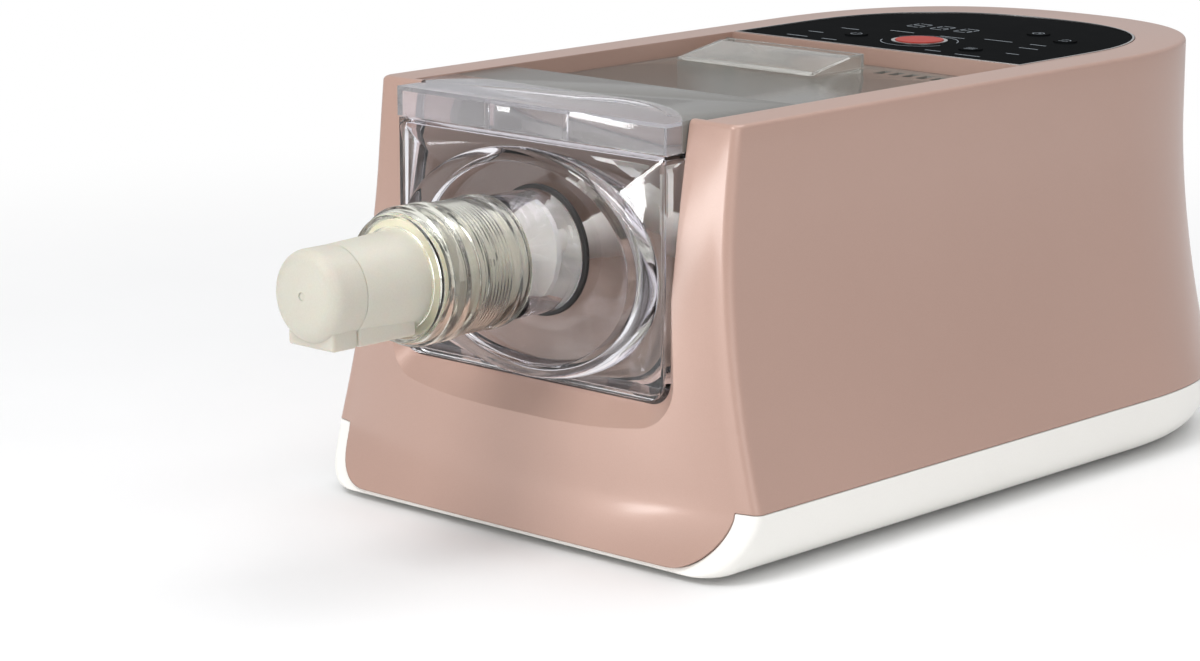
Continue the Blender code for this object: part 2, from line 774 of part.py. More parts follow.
def helix(name, inner, outer, start, length, pitch, thickness):
    """A flight round the barrel axis, from its front end backwards."""
    rings = []
    count = round(abs(length / pitch) * HELIX_STEPS)
    for step in range(count + 1):
        angle = 2 * math.pi * step / HELIX_STEPS
        y = start + length * step / count
        ring = []
        for radius, shift in ((inner, 0), (outer, 0), (outer, thickness), (inner, thickness)):
            x = radius * math.cos(angle)
            z = AXIS_HEIGHT + radius * math.sin(angle)
            ring.append((x, y + shift, z))
        rings.append(ring)
    return loft(name, rings)


def gear_outline(teeth, module, centre, first):
    """Trapezoid teeth with backlash, the first tooth pointing along the angle given."""
    outline = []
    pitch_radius = module * teeth / 2
    for tooth in range(teeth):
        middle = first + 2 * math.pi * tooth / teeth
        for radius, width in ((pitch_radius - GEAR_ROOT * module, -GEAR_FOOT_SHARE),
                              (pitch_radius + module, -GEAR_TIP_SHARE),
                              (pitch_radius + module, GEAR_TIP_SHARE),
                              (pitch_radius - GEAR_ROOT * module, GEAR_FOOT_SHARE)):
            angle = middle + 2 * math.pi / teeth * width
            outline.append((radius * math.cos(angle), centre + radius * math.sin(angle)))
    return outline


# Materials
side_rose = finish("rose_plastic", (0.43, 0.295, 0.25), 0.38)
pearl_white = finish("pearl_plastic", (0.69, 0.66, 0.60), 0.35)
lid_smoke = finish("smoked_plastic", (0.33, 0.31, 0.30), 0.25, transmission=0.4)
cover_clear = finish("clear_plastic", (0.80, 0.78, 0.80), 0.12, transmission=0.85)
nozzle_milk = finish("milky_plastic", (0.67, 0.64, 0.57), 0.30)
black_glass = finish("black_glass", (0.012, 0.012, 0.014), 0.08)
black_plastic = finish("black_plastic", (0.02, 0.02, 0.022), 0.45)
red_plastic = finish("red_plastic", (0.55, 0.05, 0.04), 0.30)
silver_paint = finish("silver_trim", (0.62, 0.61, 0.60), 0.25, metallic=0.9)
steel = finish("steel", (0.55, 0.55, 0.56), 0.28, metallic=1.0)
dark_rubber = finish("dark_rubber", (0.035, 0.033, 0.032), 0.75)
green_board = finish("circuit_board", (0.03, 0.16, 0.07), 0.50)
gear_nylon = finish("gear_nylon", (0.78, 0.76, 0.70), 0.45)

# Pivots, one on each joint axis
lid_hinge = pivot("lid_hinge", 0, HINGE_BACK, HINGE_HEIGHT)
chamber_slide = pivot("chamber_slide", 0, CHAMBER_FRONT, AXIS_HEIGHT)
cover_slide = pivot("cover_slide", 0, -COVER_FRONT, AXIS_HEIGHT, chamber_slide)
mixer_axis = pivot("mixer_axis", 0, -AUGER_FRONT, AXIS_HEIGHT, chamber_slide)
nozzle_slide = pivot("nozzle_slide", 0, -BARREL_REACH, AXIS_HEIGHT, cover_slide)
nut_axis = pivot("nut_axis", 0, -BARREL_REACH, AXIS_HEIGHT, nozzle_slide)
die_slide = pivot("die_slide", 0, -NOZZLE_TIP, AXIS_HEIGHT, nozzle_slide)
output_axis = pivot("output_axis", 0, CHAMBER_LENGTH, AXIS_HEIGHT)

# Housing: one flared shell with the front panel's tongue, window, trough and panel recess
WINDOW_TOP = BODY_HEIGHT + OVERRUN
MID_TOP = BODY_HEIGHT - TOP_WALL / 2
PANEL_FLOOR = BODY_HEIGHT - PANEL_RECESS
housing = body_loft("housing", TONGUE_BOTTOM, BODY_HEIGHT, rim=TOP_BEVEL)
hollow = body_loft("hollow", -OVERRUN, BODY_HEIGHT - TOP_WALL, inset=SHELL_WALL)
below = box("below", -BODY_WIDTH, BODY_WIDTH, -BODY_WIDTH, BODY_LENGTH + BODY_WIDTH,
            -OVERRUN, SEAM_HEIGHT)
tongue = slab("tongue", [rounded_bottom(TONGUE_HALF, TONGUE_BOTTOM, SEAM_HEIGHT + OVERRUN,
                                        TONGUE_CORNER)], -BODY_WIDTH - OVERRUN, CORNER_FILLET, "Y")
subtract(below, tongue)
subtract(housing, hollow, below)
frame = slab("frame", [rounded_bottom(WINDOW_HALF + FRAME_BAND, WINDOW_SILL - FRAME_BAND,
                                      MID_TOP, WINDOW_CORNER + FRAME_BAND)],
             -FRAME_FRONT, FRAME_BACK, "Y")
intersect(frame, body_loft("frame_limit", TONGUE_BOTTOM, BODY_HEIGHT, inset=3 * GAP))
unite(housing, frame)
for side in (-1, 1):
    edges = sorted((side * (TROUGH_HALF - LIP_WALL / 2), side * (TROUGH_HALF + LIP_WALL)))
    lip = box("lip", *edges, FRAME_BACK / 2, TROUGH_REAR + LIP_WALL, LIP_BOTTOM, MID_TOP)
    unite(housing, lip)
rear_lip = box("rear_lip", -TROUGH_HALF - LIP_WALL / 2, TROUGH_HALF + LIP_WALL / 2,
               TROUGH_REAR - LIP_WALL, TROUGH_REAR + LIP_WALL - GAP, LIP_BOTTOM + GAP, MID_TOP + GAP)
unite(housing, rear_lip)
BOSS_PLACES = [(side * BOARD_HALF, y) for side in (-1, 1) for y in (BOARD_FRONT, BOARD_REAR)]
for x, y in BOSS_PLACES:
    boss = rod("board_boss", BOSS_RADIUS, BOARD_HEIGHT + BOARD_THICKNESS + GAP,
               BODY_HEIGHT - TOP_WALL + GAP, x, y, "Z")
    unite(housing, boss)
trough = box("trough", -TROUGH_HALF, TROUGH_HALF, FRAME_BACK + GAP, TROUGH_REAR,
             CHAMBER_CENTRE, WINDOW_TOP)
window_rings = []
for depth, grow in ((FRAME_BACK + TOP_BEVEL, 0), (-DISH_FLOOR, 0),
                    (-DISH_FLOOR - DISH_REACH, DISH_SPREAD)):
    outline = rounded_bottom(WINDOW_HALF + grow, WINDOW_SILL - grow, WINDOW_TOP,
                             WINDOW_CORNER + grow)
    window_rings.append([(x, depth, z) for x, z in outline])
window = loft("window", window_rings)
subtract(housing, trough, window)
subtract(housing, slab("panel_recess", [panel_outline(0)], PANEL_FLOOR, WINDOW_TOP))
subtract(housing, slab("panel_opening", [panel_outline(PANEL_LEDGE)],
                       BODY_HEIGHT - TOP_WALL - GAP, WINDOW_TOP))
for side in (-1, 1):
    pin_hole = rod("pin_hole", HINGE_PIN_RADIUS + FIT, 0, TROUGH_HALF + LIP_WALL + GAP)
    pin_hole.data.transform(Matrix.Translation((0, HINGE_BACK, HINGE_HEIGHT))
                            @ Matrix.Rotation(-side * math.pi / 2, 4, "Z"))
    subtract(housing, pin_hole)
for slot in range(VENT_COUNT):
    z = VENT_LOW + VENT_PITCH * slot
    vent_half = VENT_HALF - VENT_STEP * abs(slot - VENT_COUNT // 2)
    subtract(housing, box("vent", -vent_half, vent_half, BODY_LENGTH - VENT_HALF,
                          BODY_LENGTH + VENT_HALF, z, z + VENT_SLOT))
INLET_BACK = BODY_LENGTH + REAR_FLARE - GAP
socket_hole = box("socket_hole", -INLET_SOCKET_HALF - GAP, INLET_SOCKET_HALF + GAP,
                  BODY_LENGTH - VENT_HALF, BODY_LENGTH + VENT_HALF,
                  INLET_SOCKET_HEIGHT - INLET_SOCKET_RISE - GAP,
                  INLET_SOCKET_HEIGHT + INLET_SOCKET_RISE + GAP)
subtract(housing, socket_hole)
piece("housing_shell", housing, side_rose)

# Base tray: rounded under, with a pocket that takes the front panel's tongue
base = loft("base", base_loft("base", BASE_UNDERSIDE, SEAM_HEIGHT - GAP, 0, 0))
base_front = SHELL_WALL + TONGUE_GAP + BASE_WALL
hollow_rings = base_loft("base_hollow", BASE_UNDERSIDE + BASE_FLOOR, SEAM_HEIGHT - GAP,
                         BASE_WALL, base_front)
lift = Vector((0, 0, OVERRUN))
hollow_rings.append([tuple(Vector(point) + lift) for point in hollow_rings[-1]])
subtract(base, loft("base_hollow", hollow_rings))
pocket = slab("pocket", [rounded_bottom(TONGUE_HALF + GAP, TONGUE_BOTTOM - GAP,
                                        SEAM_HEIGHT + OVERRUN, TONGUE_CORNER + GAP)],
              -BODY_WIDTH, CORNER_FILLET, "Y")
subtract(pocket, body_loft("pocket_limit", -OVERRUN, BODY_HEIGHT, inset=SHELL_WALL + TONGUE_GAP))
subtract(base, pocket)
CRADLE_BACK = CHAMBER_BACK + CRADLE_REAR_SPACE + CRADLE_WALL
LUG_BOTTOM = tub_floor(0, CRADLE_CLEARANCE + CRADLE_WALL)
for side in (-1, 1):
    for y in (POST_FRONT, POST_REAR):
        unite(base, rod("cradle_post", POST_RADIUS, BASE_UNDERSIDE + BASE_FLOOR / 2,
                        LUG_BOTTOM - GAP, side * POST_X, y, "Z", SMALL_STEPS))
BRACKET_FOOT = MOTOR_UNDERSIDE - BRACKET_THICKNESS - 2 * GAP
PLATE_FRONT = CRADLE_BACK + 3 * GAP
PLATE_BACK = PLATE_FRONT + PLATE_THICKNESS
CASE_FRONT = PLATE_BACK + GAP
CASE_BACK = CASE_FRONT + CASE_DEPTH
BRACKET_POST_Y = CASE_BACK + BRACKET_FOOT_LENGTH - 2 * POST_RADIUS
for side in (-1, 1):
    unite(base, rod("bracket_post", POST_RADIUS, BASE_UNDERSIDE + BASE_FLOOR / 2,
                    BRACKET_FOOT - GAP, side * BRACKET_POST_X, BRACKET_POST_Y, "Z", SMALL_STEPS))
power_right = BODY_WIDTH / 2 - POWER_BOARD_SIDE
power_x = (power_right - POWER_BOARD_WIDTH, power_right)
power_front = CHAMBER_BACK + POWER_BOARD_SETBACK
power_y = (power_front, power_front + POWER_BOARD_LENGTH)
for x, y in [(x, y) for x in power_x for y in power_y]:
    unite(base, rod("power_boss", BOSS_RADIUS, BASE_UNDERSIDE + BASE_FLOOR / 2,
                    POWER_BOARD_HEIGHT - GAP, x, y, "Z", SMALL_STEPS))
FOOT_PLACES = {
    "foot_front_left": (-FOOT_X, FOOT_FRONT),
    "foot_front_right": (FOOT_X, FOOT_FRONT),
    "foot_rear_left": (-FOOT_X, FOOT_REAR),
    "foot_rear_right": (FOOT_X, FOOT_REAR),
}
for name, (x, y) in FOOT_PLACES.items():
    subtract(base, rod("foot_pocket", FOOT_RADIUS + GAP, -OVERRUN, BASE_UNDERSIDE + FOOT_INSET,
                       x, y, "Z", SMALL_STEPS))
    foot = rod(name, FOOT_RADIUS, 0, BASE_UNDERSIDE + FOOT_INSET - GAP, x, y, "Z", SMALL_STEPS)
    piece(name, foot, dark_rubber)
piece("base_tray", base, pearl_white)

# Chamber cradle: the rose liner of the well, on the base's posts
cradle_grow = CRADLE_CLEARANCE + CRADLE_WALL
cradle = slab("cradle", [tub_outline(cradle_grow, CRADLE_TOP)], CRADLE_FRONT, CRADLE_BACK, "Y")
subtract(cradle, slab("cradle_hollow", [tub_outline(CRADLE_CLEARANCE, WINDOW_TOP)],
                      -OVERRUN, CRADLE_BACK - CRADLE_WALL, "Y"))
for side in (-1, 1):
    edges = sorted((side * (CHAMBER_HALF + cradle_grow - CRADLE_WALL / 2),
                    side * (TROUGH_HALF + LIP_WALL)))
    unite(cradle, box("ledge", *edges, CRADLE_FRONT + GAP, CRADLE_BACK - OVERRUN,
                      CRADLE_TOP - LEDGE_THICKNESS, CRADLE_TOP - GAP))
    for y in (POST_FRONT, POST_REAR):
        lug_top = tub_floor(POST_X + POST_RADIUS, cradle_grow) + GAP
        unite(cradle, rod("lug", POST_RADIUS, LUG_BOTTOM, lug_top, side * POST_X, y, "Z",
                          SMALL_STEPS))
subtract(cradle, rod("cradle_bore", HUB_TAIL_RADIUS + 2 * FIT, CHAMBER_BACK - OVERRUN,
                     CRADLE_BACK + OVERRUN, 0, AXIS_HEIGHT))
piece("chamber_cradle", cradle, side_rose)

# Mixing chamber: a clear tub, open above and in front
chamber = slab("chamber", [tub_outline(0, CHAMBER_TOP)], CHAMBER_FRONT, CHAMBER_BACK, "Y")
subtract(chamber, slab("chamber_hollow", [tub_outline(-CLEAR_WALL, WINDOW_TOP)],
                       -OVERRUN, CHAMBER_BACK - CLEAR_WALL, "Y"))
subtract(chamber, rod("seal_bore", SEAL_RADIUS, CHAMBER_BACK - OVERRUN, CHAMBER_BACK + OVERRUN,
                      0, AXIS_HEIGHT, steps=ROUND_STEPS))
piece("mixing_chamber", chamber, cover_clear, chamber_slide)
seal_front = CHAMBER_BACK - CLEAR_WALL - SEAL_FLANGE - GAP
seal_inner = HUB_TAIL_RADIUS + FIT
seal = turned("seal", [(seal_inner, seal_front), (SEAL_RADIUS + SEAL_FLANGE, seal_front),
                       (SEAL_RADIUS + SEAL_FLANGE, seal_front + SEAL_FLANGE),
                       (SEAL_RADIUS - GAP, seal_front + SEAL_FLANGE),
                       (SEAL_RADIUS - GAP, CHAMBER_BACK), (seal_inner, CHAMBER_BACK)])
piece("chamber_seal", seal, dark_rubber, chamber_slide, smooth=False)

# Front cover: a clear tray with a raised oval rim and a recessed floor for the barrel
cover = slab("cover", [rounded_bottom(COVER_HALF, COVER_BOTTOM, COVER_TOP, COVER_CORNER)],
             -COVER_FRONT, CHAMBER_FRONT - COVER_SPACE, "Y")
subtract(cover, slab("cover_hollow", [rounded_bottom(COVER_HALF - CLEAR_WALL,
                                                     COVER_BOTTOM + CLEAR_WALL,
                                                     COVER_TOP - CLEAR_WALL,
                                                     COVER_CORNER - CLEAR_WALL)],
                     -COVER_FRONT + CLEAR_WALL, OVERRUN, "Y"))
rim_rings = []
for share, forward in OVAL_RIM_SHARES:
    half = OVAL_OUTER_HALF - OVAL_ROUND * share
    rise = OVAL_OUTER_RISE - OVAL_ROUND * share
    y = -COVER_FRONT + CLEAR_WALL / 2 - (OVAL_DEPTH + CLEAR_WALL / 2) * forward
    rim_rings.append([(x, y, z) for x, z in oval(half, rise, 0, OVAL_CENTRE)])
unite(cover, loft("oval_rim", rim_rings))
unite(cover, slab("oval_cup", [oval(CUP_HALF, CUP_RISE, 0, OVAL_CENTRE)],
                  -COVER_FRONT - GAP, -CUP_BACK + CLEAR_WALL, "Y"))
subtract(cover, slab("oval_well", [oval(OVAL_INNER_HALF, OVAL_INNER_RISE, 0, OVAL_CENTRE)],
                     -COVER_FRONT - OVERRUN, -CUP_BACK, "Y"))
CUP_PLATE_BACK = -CUP_BACK + CLEAR_WALL
spigot_outer = GASKET_BORE - GAP
subtract(cover, rod("barrel_hole", GASKET_BORE, -CUP_BACK - OVERRUN, OVERRUN, 0, AXIS_HEIGHT,
                    steps=ROUND_STEPS))
piece("front_cover", cover, cover_clear, cover_slide)

# Extrusion barrel with its boss, thread and rear spigot
BOSS_BACK = CUP_BACK + GASKET_THICKNESS + 2 * GAP
barrel = turned("barrel", [(BARREL_BORE, -BARREL_REACH), (THREAD_ROOT, -BARREL_REACH),
                           (THREAD_ROOT, -BARREL_SHOULDER), (BARREL_BOSS_RADIUS, -BARREL_SHOULDER),
                           (BARREL_BOSS_RADIUS, -BOSS_BACK), (spigot_outer, -BOSS_BACK),
                           (spigot_outer, CUP_PLATE_BACK), (BARREL_BORE + FEED_FLARE, CUP_PLATE_BACK),
                           (BARREL_BORE, -BOSS_BACK - GASKET_THICKNESS)])
thread = helix("thread", THREAD_ROOT - GAP, BARREL_THREAD_RADIUS,
               -BARREL_REACH + THREAD_PITCH / 2 + THREAD_TURNS * THREAD_PITCH,
               -THREAD_TURNS * THREAD_PITCH, THREAD_PITCH, THREAD_WIDTH)
unite(barrel, thread)
piece("extrusion_barrel", barrel, cover_clear, cover_slide)
gasket_back = -CUP_BACK - GAP
gasket = turned("gasket", [(GASKET_BORE, gasket_back - GASKET_THICKNESS),
                           (GASKET_RADIUS, gasket_back - GASKET_THICKNESS),
                           (GASKET_RADIUS, gasket_back), (GASKET_BORE, gasket_back)])
piece("barrel_gasket", gasket, dark_rubber, cover_slide, smooth=False)

# Barrel nut with rings round it, which holds the nozzle's flange
flange_back = -BARREL_REACH - GAP
flange_front = flange_back - NOZZLE_FLANGE
lip_back = flange_front - GAP
nut_front = lip_back - NUT_LIP
nut_bore = BARREL_THREAD_RADIUS + FIT
nut_back = -BARREL_SHOULDER - GAP
nut_profile = [(NOZZLE_RADIUS + NUT_LIP_CLEARANCE, nut_front), (NUT_RADIUS - NUT_NOSE, nut_front)]
for start, width in NUT_RIDGE_PLACES:
    ridge_front = nut_front + start
    ridge_back = ridge_front + width
    nut_profile += [(NUT_RADIUS, ridge_front - NUT_RIDGE), (NUT_RADIUS + NUT_RIDGE, ridge_front),
                    (NUT_RADIUS + NUT_RIDGE, ridge_back - NUT_RIDGE), (NUT_RADIUS, ridge_back)]
nut_profile += [(NUT_RADIUS, nut_back - NUT_BEAD - NUT_RIDGE),
                (NUT_RADIUS + NUT_RIDGE / 2, nut_back - NUT_BEAD),
                (NUT_RADIUS + NUT_RIDGE / 2, nut_back), (nut_bore, nut_back),
                (nut_bore, lip_back), (NOZZLE_RADIUS + NUT_LIP_CLEARANCE, lip_back)]
piece("barrel_nut", turned("nut", nut_profile), cover_clear, nut_axis)

# Nozzle tube with the rails of the shaping die under it
nozzle_front = flange_front - NOZZLE_LENGTH
nozzle = turned("nozzle", [(NOZZLE_BORE, nozzle_front), (NOZZLE_TIP_RADIUS, nozzle_front),
                           (NOZZLE_RADIUS, nut_front), (NOZZLE_RADIUS, flange_front),
                           (NOZZLE_FLANGE_RADIUS, flange_front),
                           (NOZZLE_FLANGE_RADIUS, flange_back), (NOZZLE_BORE, flange_back)])
RAIL_BACK = nut_front - RAIL_SPACE
rail = box("rail", -RAIL_HALF, RAIL_HALF, nozzle_front, RAIL_BACK,
           AXIS_HEIGHT - RAIL_DROP, AXIS_HEIGHT - NOZZLE_BORE * RAIL_SHARE)
unite(nozzle, rail)
subtract(nozzle, rod("nozzle_clear", NOZZLE_BORE, nozzle_front - OVERRUN, flange_back + OVERRUN,
                     0, AXIS_HEIGHT, steps=ROUND_STEPS))
die_front = nozzle_front + GAP
die_back = die_front + DIE_LENGTH
subtract(nozzle, box("die_groove", -DIE_HALF - GAP, DIE_HALF + GAP, nozzle_front - OVERRUN,
                     die_back + GAP, AXIS_HEIGHT - DIE_DROP - DIE_THICKNESS - GAP,
                     AXIS_HEIGHT - DIE_DROP + GAP))
subtract(nozzle, box("die_window", -DIE_OPENING, DIE_OPENING, nozzle_front - OVERRUN,
                     die_back - DIE_MARGIN, AXIS_HEIGHT - RAIL_DROP - OVERRUN,
                     AXIS_HEIGHT - NOZZLE_BORE / 2))
piece("nozzle_tube", nozzle, nozzle_milk, nozzle_slide)

# Nozzle end cap, hollow behind its rounded front
cap_back = nozzle_front - GAP
cap_front = cap_back - CAP_LENGTH
spigot = NOZZLE_BORE - GAP
cap_profile = [(0, cap_front)]
for step in range(CAP_ROUND_STEPS + 1):
    angle = math.pi / 2 * step / CAP_ROUND_STEPS
    radius = NOZZLE_TIP_RADIUS - CAP_ROUND * (1 - math.sin(angle))
    cap_profile.append((radius, cap_front + CAP_ROUND * (1 - math.cos(angle))))
cap_profile += [(NOZZLE_TIP_RADIUS, cap_back), (spigot, cap_back), (spigot, cap_back + CAP_SPIGOT),
                (spigot - CAP_SPIGOT_WALL, cap_back + CAP_SPIGOT),
                (spigot - CAP_SPIGOT_WALL, cap_front + CAP_FACE), (0, cap_front + CAP_FACE)]
cap = turned("cap", cap_profile, closed=False)
keel = box("keel", -RAIL_HALF, RAIL_HALF, cap_front + KEEL_SPACE, cap_back - GAP,
           AXIS_HEIGHT - RAIL_DROP, AXIS_HEIGHT - NOZZLE_BORE * RAIL_SHARE)
subtract(keel, rod("keel_clear", spigot - CAP_SPIGOT_WALL + GAP, cap_front + CAP_FACE - GAP, 0,
                   0, AXIS_HEIGHT, steps=ROUND_STEPS))
unite(cap, keel)
subtract(cap, rod("dimple", DIMPLE_RADIUS, cap_front - OVERRUN, cap_front + DIMPLE_DEPTH,
                  DIMPLE_X, AXIS_HEIGHT + DIMPLE_RISE))
subtract(cap, box("spigot_slot", -DIE_HALF - 2 * GAP, DIE_HALF + 2 * GAP, cap_back + GAP / 2,
                  OVERRUN, CHAMBER_CENTRE - RAIL_DROP - OVERRUN, AXIS_HEIGHT - DIE_DROP + 3 * GAP))
piece("nozzle_end_cap", cap, nozzle_milk, die_slide)

# Shaping die: a plate with rows of holes, which slides in with the cap
die_outline = [rectangle(-DIE_HALF, DIE_HALF, die_front, die_back)]
for row in range(DIE_ROWS):
    for hole in range(DIE_HOLES_PER_ROW):
        x = DIE_HOLE_PITCH * (row - (DIE_ROWS - 1) / 2)
        y = (die_front + die_back - DIE_MARGIN) / 2
        y += DIE_HOLE_PITCH * (hole - (DIE_HOLES_PER_ROW - 1) / 2)
        die_outline.append(oval(DIE_HOLE_RADIUS, DIE_HOLE_RADIUS, x, y, DIE_HOLE_STEPS))
die = slab("die", die_outline, AXIS_HEIGHT - DIE_DROP - DIE_THICKNESS, AXIS_HEIGHT - DIE_DROP)
piece("shaping_die", die, nozzle_milk, die_slide, smooth=False)

# Auger: a screw flight on its shaft, keyed into the paddle's hub
auger = rod("auger", AUGER_SHAFT_RADIUS, -AUGER_FRONT, AUGER_BACK, 0, AXIS_HEIGHT,
            steps=ROUND_STEPS // 2)
flight = helix("flight", AUGER_SHAFT_RADIUS - AUGER_ROOT, AUGER_RADIUS, -AUGER_FRONT + AUGER_PITCH / 8,
               AUGER_FRONT + AUGER_BACK - AUGER_PITCH / 4, AUGER_PITCH, AUGER_FLIGHT)
unite(auger, flight)
key = box("key", -SPIGOT_HALF, SPIGOT_HALF, AUGER_BACK - AUGER_ROOT, AUGER_BACK + SPIGOT_LENGTH,
          AXIS_HEIGHT - SPIGOT_HALF, AXIS_HEIGHT + SPIGOT_HALF)
unite(auger, key)
piece("auger", auger, nozzle_milk, mixer_axis)

# Mixing paddle: a hub with four arms, each ending in a bar
hub_front = AUGER_BACK + GAP
hub_back = CHAMBER_BACK - CLEAR_WALL - SEAL_FLANGE - 3 * GAP
tail_back = CHAMBER_BACK + GAP
paddle = rod("paddle", HUB_RADIUS, hub_front, hub_back, 0, AXIS_HEIGHT, steps=ROUND_STEPS // 2)
unite(paddle, rod("hub_tail", HUB_TAIL_RADIUS, hub_back - OVERRUN, tail_back, 0, AXIS_HEIGHT,
                  steps=ROUND_STEPS // 2))
ARM_PITCH = (CHAMBER_BACK - ARM_END_SPACE - ARM_START) / (ARM_COUNT - 1)
for arm_number in range(ARM_COUNT):
    y = ARM_START + ARM_PITCH * arm_number
    turn = math.pi / 2 * arm_number
    arm = box("arm", -ARM_HALF, ARM_HALF, y, y + ARM_THICKNESS, AXIS_HEIGHT,
              AXIS_HEIGHT + ARM_REACH)
    bar = box("arm_bar", -ARM_HALF - GAP, ARM_HALF + GAP, y - ARM_BAR, y + ARM_THICKNESS + ARM_BAR,
              AXIS_HEIGHT + ARM_REACH - ARM_THICKNESS, AXIS_HEIGHT + ARM_REACH + GAP)
    unite(arm, bar)
    for shape in (arm, bar):
        spun(shape, turn)
    unite(paddle, arm)
key_half = SPIGOT_HALF + GAP
subtract(paddle, box("key_socket", -key_half, key_half, AUGER_BACK - OVERRUN,
                     AUGER_BACK + SPIGOT_LENGTH + FIT, AXIS_HEIGHT - key_half,
                     AXIS_HEIGHT + key_half))
hex_back = tail_back + GAP
hex_front = tail_back - HEX_DEPTH
subtract(paddle, rod("hex_socket", HEX_RADIUS + FIT, hex_front - FIT, tail_back + OVERRUN, 0,
                     AXIS_HEIGHT, steps=6))
piece("mixing_paddle", paddle, nozzle_milk, mixer_axis)

# Drive shaft: the hex that turns the mixer, and the large output gear on its back end
BOSS_BACK_FRONT = PLATE_FRONT + BEARING_WIDTH
INPUT_WHEEL_FRONT = BOSS_BACK_FRONT + GEAR_SPACE
INPUT_WHEEL_BACK = INPUT_WHEEL_FRONT + FACE_WIDTH
OUTPUT_WHEEL_FRONT = INPUT_WHEEL_BACK + GEAR_SPACE + PINION_EXTRA
OUTPUT_WHEEL_BACK = OUTPUT_WHEEL_FRONT + FACE_WIDTH
REAR_BEARING_BACK = CASE_BACK - CASE_WALL
REAR_BEARING_FRONT = REAR_BEARING_BACK - BEARING_WIDTH
TOOTH_DOWN = -math.pi / 2
GAP_UP = math.pi / 2 + math.pi / PINION_TEETH
shaft = rod("shaft", SHAFT_RADIUS, hex_back, REAR_BEARING_BACK - GAP, 0, AXIS_HEIGHT,
            steps=ROUND_STEPS // 2)
unite(shaft, rod("hex", HEX_RADIUS, hex_front, hex_back + CASE_WALL, 0, AXIS_HEIGHT, steps=6))
piece("drive_shaft", shaft, steel, output_axis)
wheel = slab("output_wheel", [gear_outline(WHEEL_TEETH, GEAR_MODULE_OUT, AXIS_HEIGHT, TOOTH_DOWN),
                              oval(SHAFT_RADIUS + GAP, SHAFT_RADIUS + GAP, 0, AXIS_HEIGHT)],
             OUTPUT_WHEEL_FRONT, OUTPUT_WHEEL_BACK, "Y")
piece("output_gear", wheel, gear_nylon, output_axis, smooth=False)

# Idler: a large wheel and a small pinion in one, turning on a fixed pin
idler_axis = pivot("idler_axis", 0, INPUT_WHEEL_FRONT, IDLER_HEIGHT)
bore = oval(PIN_RADIUS + GAP, PIN_RADIUS + GAP, 0, IDLER_HEIGHT)
idler = slab("idler", [gear_outline(WHEEL_TEETH, GEAR_MODULE_IN, IDLER_HEIGHT, TOOTH_DOWN), bore],
             INPUT_WHEEL_FRONT, INPUT_WHEEL_BACK, "Y")
pinion = slab("idler_pinion", [gear_outline(PINION_TEETH, GEAR_MODULE_OUT, IDLER_HEIGHT, GAP_UP),
                               bore], INPUT_WHEEL_BACK - PINION_EXTRA,
              OUTPUT_WHEEL_BACK + PINION_EXTRA, "Y")
unite(idler, pinion)
piece("idler_gear", idler, gear_nylon, idler_axis, smooth=False)
piece("idler_pin", rod("pin", PIN_RADIUS, PLATE_FRONT + GAP, REAR_BEARING_BACK, 0, IDLER_HEIGHT),
      steel)

# Motor: its can, the shaft with the motor pinion, and the cooling fan behind
rotor_axis = pivot("rotor_axis", 0, INPUT_WHEEL_FRONT, MOTOR_HEIGHT)
MOTOR_FRONT = CASE_BACK + BRACKET_THICKNESS + 2 * GAP
MOTOR_BACK = MOTOR_FRONT + MOTOR_LENGTH
FAN_FRONT = MOTOR_BACK + FAN_SPACE
FAN_BACK = FAN_FRONT + FAN_WIDTH
rotor = slab("rotor", [gear_outline(PINION_TEETH, GEAR_MODULE_IN, MOTOR_HEIGHT, GAP_UP)],
             INPUT_WHEEL_FRONT - PINION_EXTRA, INPUT_WHEEL_BACK + PINION_EXTRA, "Y")
unite(rotor, rod("rotor_shaft", MOTOR_SHAFT_RADIUS, INPUT_WHEEL_FRONT, FAN_BACK, 0, MOTOR_HEIGHT))
piece("motor_pinion", rotor, steel, rotor_axis, smooth=False)
can_bore = MOTOR_SHAFT_RADIUS + FIT
motor = turned("motor", [(can_bore, MOTOR_FRONT - MOTOR_NECK), (MOTOR_NECK_RADIUS, MOTOR_FRONT - MOTOR_NECK),
                         (MOTOR_NECK_RADIUS, MOTOR_FRONT), (MOTOR_RADIUS - TOP_BEVEL, MOTOR_FRONT),
                         (MOTOR_RADIUS, MOTOR_FRONT + TOP_BEVEL),
                         (MOTOR_RADIUS, MOTOR_BACK - TOP_BEVEL),
                         (MOTOR_RADIUS - TOP_BEVEL, MOTOR_BACK), (can_bore, MOTOR_BACK)],
               MOTOR_HEIGHT)
piece("motor", motor, steel)
fan = rod("fan", FAN_HUB, FAN_FRONT, FAN_BACK, 0, 0)
for blade_number in range(FAN_BLADES):
    blade = box("blade", -BLADE_THICKNESS / 2, BLADE_THICKNESS / 2, FAN_FRONT + GAP, FAN_BACK - GAP,
                FAN_HUB - 2 * BLADE_THICKNESS, FAN_RADIUS)
    blade.data.transform(Matrix.Rotation(2 * math.pi * blade_number / FAN_BLADES, 4, "Y"))
    unite(fan, blade)
subtract(fan, rod("fan_bore", MOTOR_SHAFT_RADIUS + GAP, FAN_FRONT - OVERRUN, FAN_BACK + OVERRUN))
for shape in [fan] + [step[1] for step in boolean_steps if step[0] is fan]:
    shape.data.transform(Matrix.Translation((0, 0, MOTOR_HEIGHT)))
piece("cooling_fan", fan, black_plastic, rotor_axis, smooth=False)
bracket = box("bracket", -BRACKET_HALF, BRACKET_HALF, CASE_BACK + GAP,
              CASE_BACK + GAP + BRACKET_THICKNESS, BRACKET_FOOT, MOTOR_HEIGHT + BRACKET_RISE)
unite(bracket, box("bracket_foot", -BRACKET_HALF + GAP, BRACKET_HALF - GAP,
                   CASE_BACK + BRACKET_THICKNESS / 2, CASE_BACK + BRACKET_FOOT_LENGTH,
                   BRACKET_FOOT, BRACKET_FOOT + BRACKET_THICKNESS))
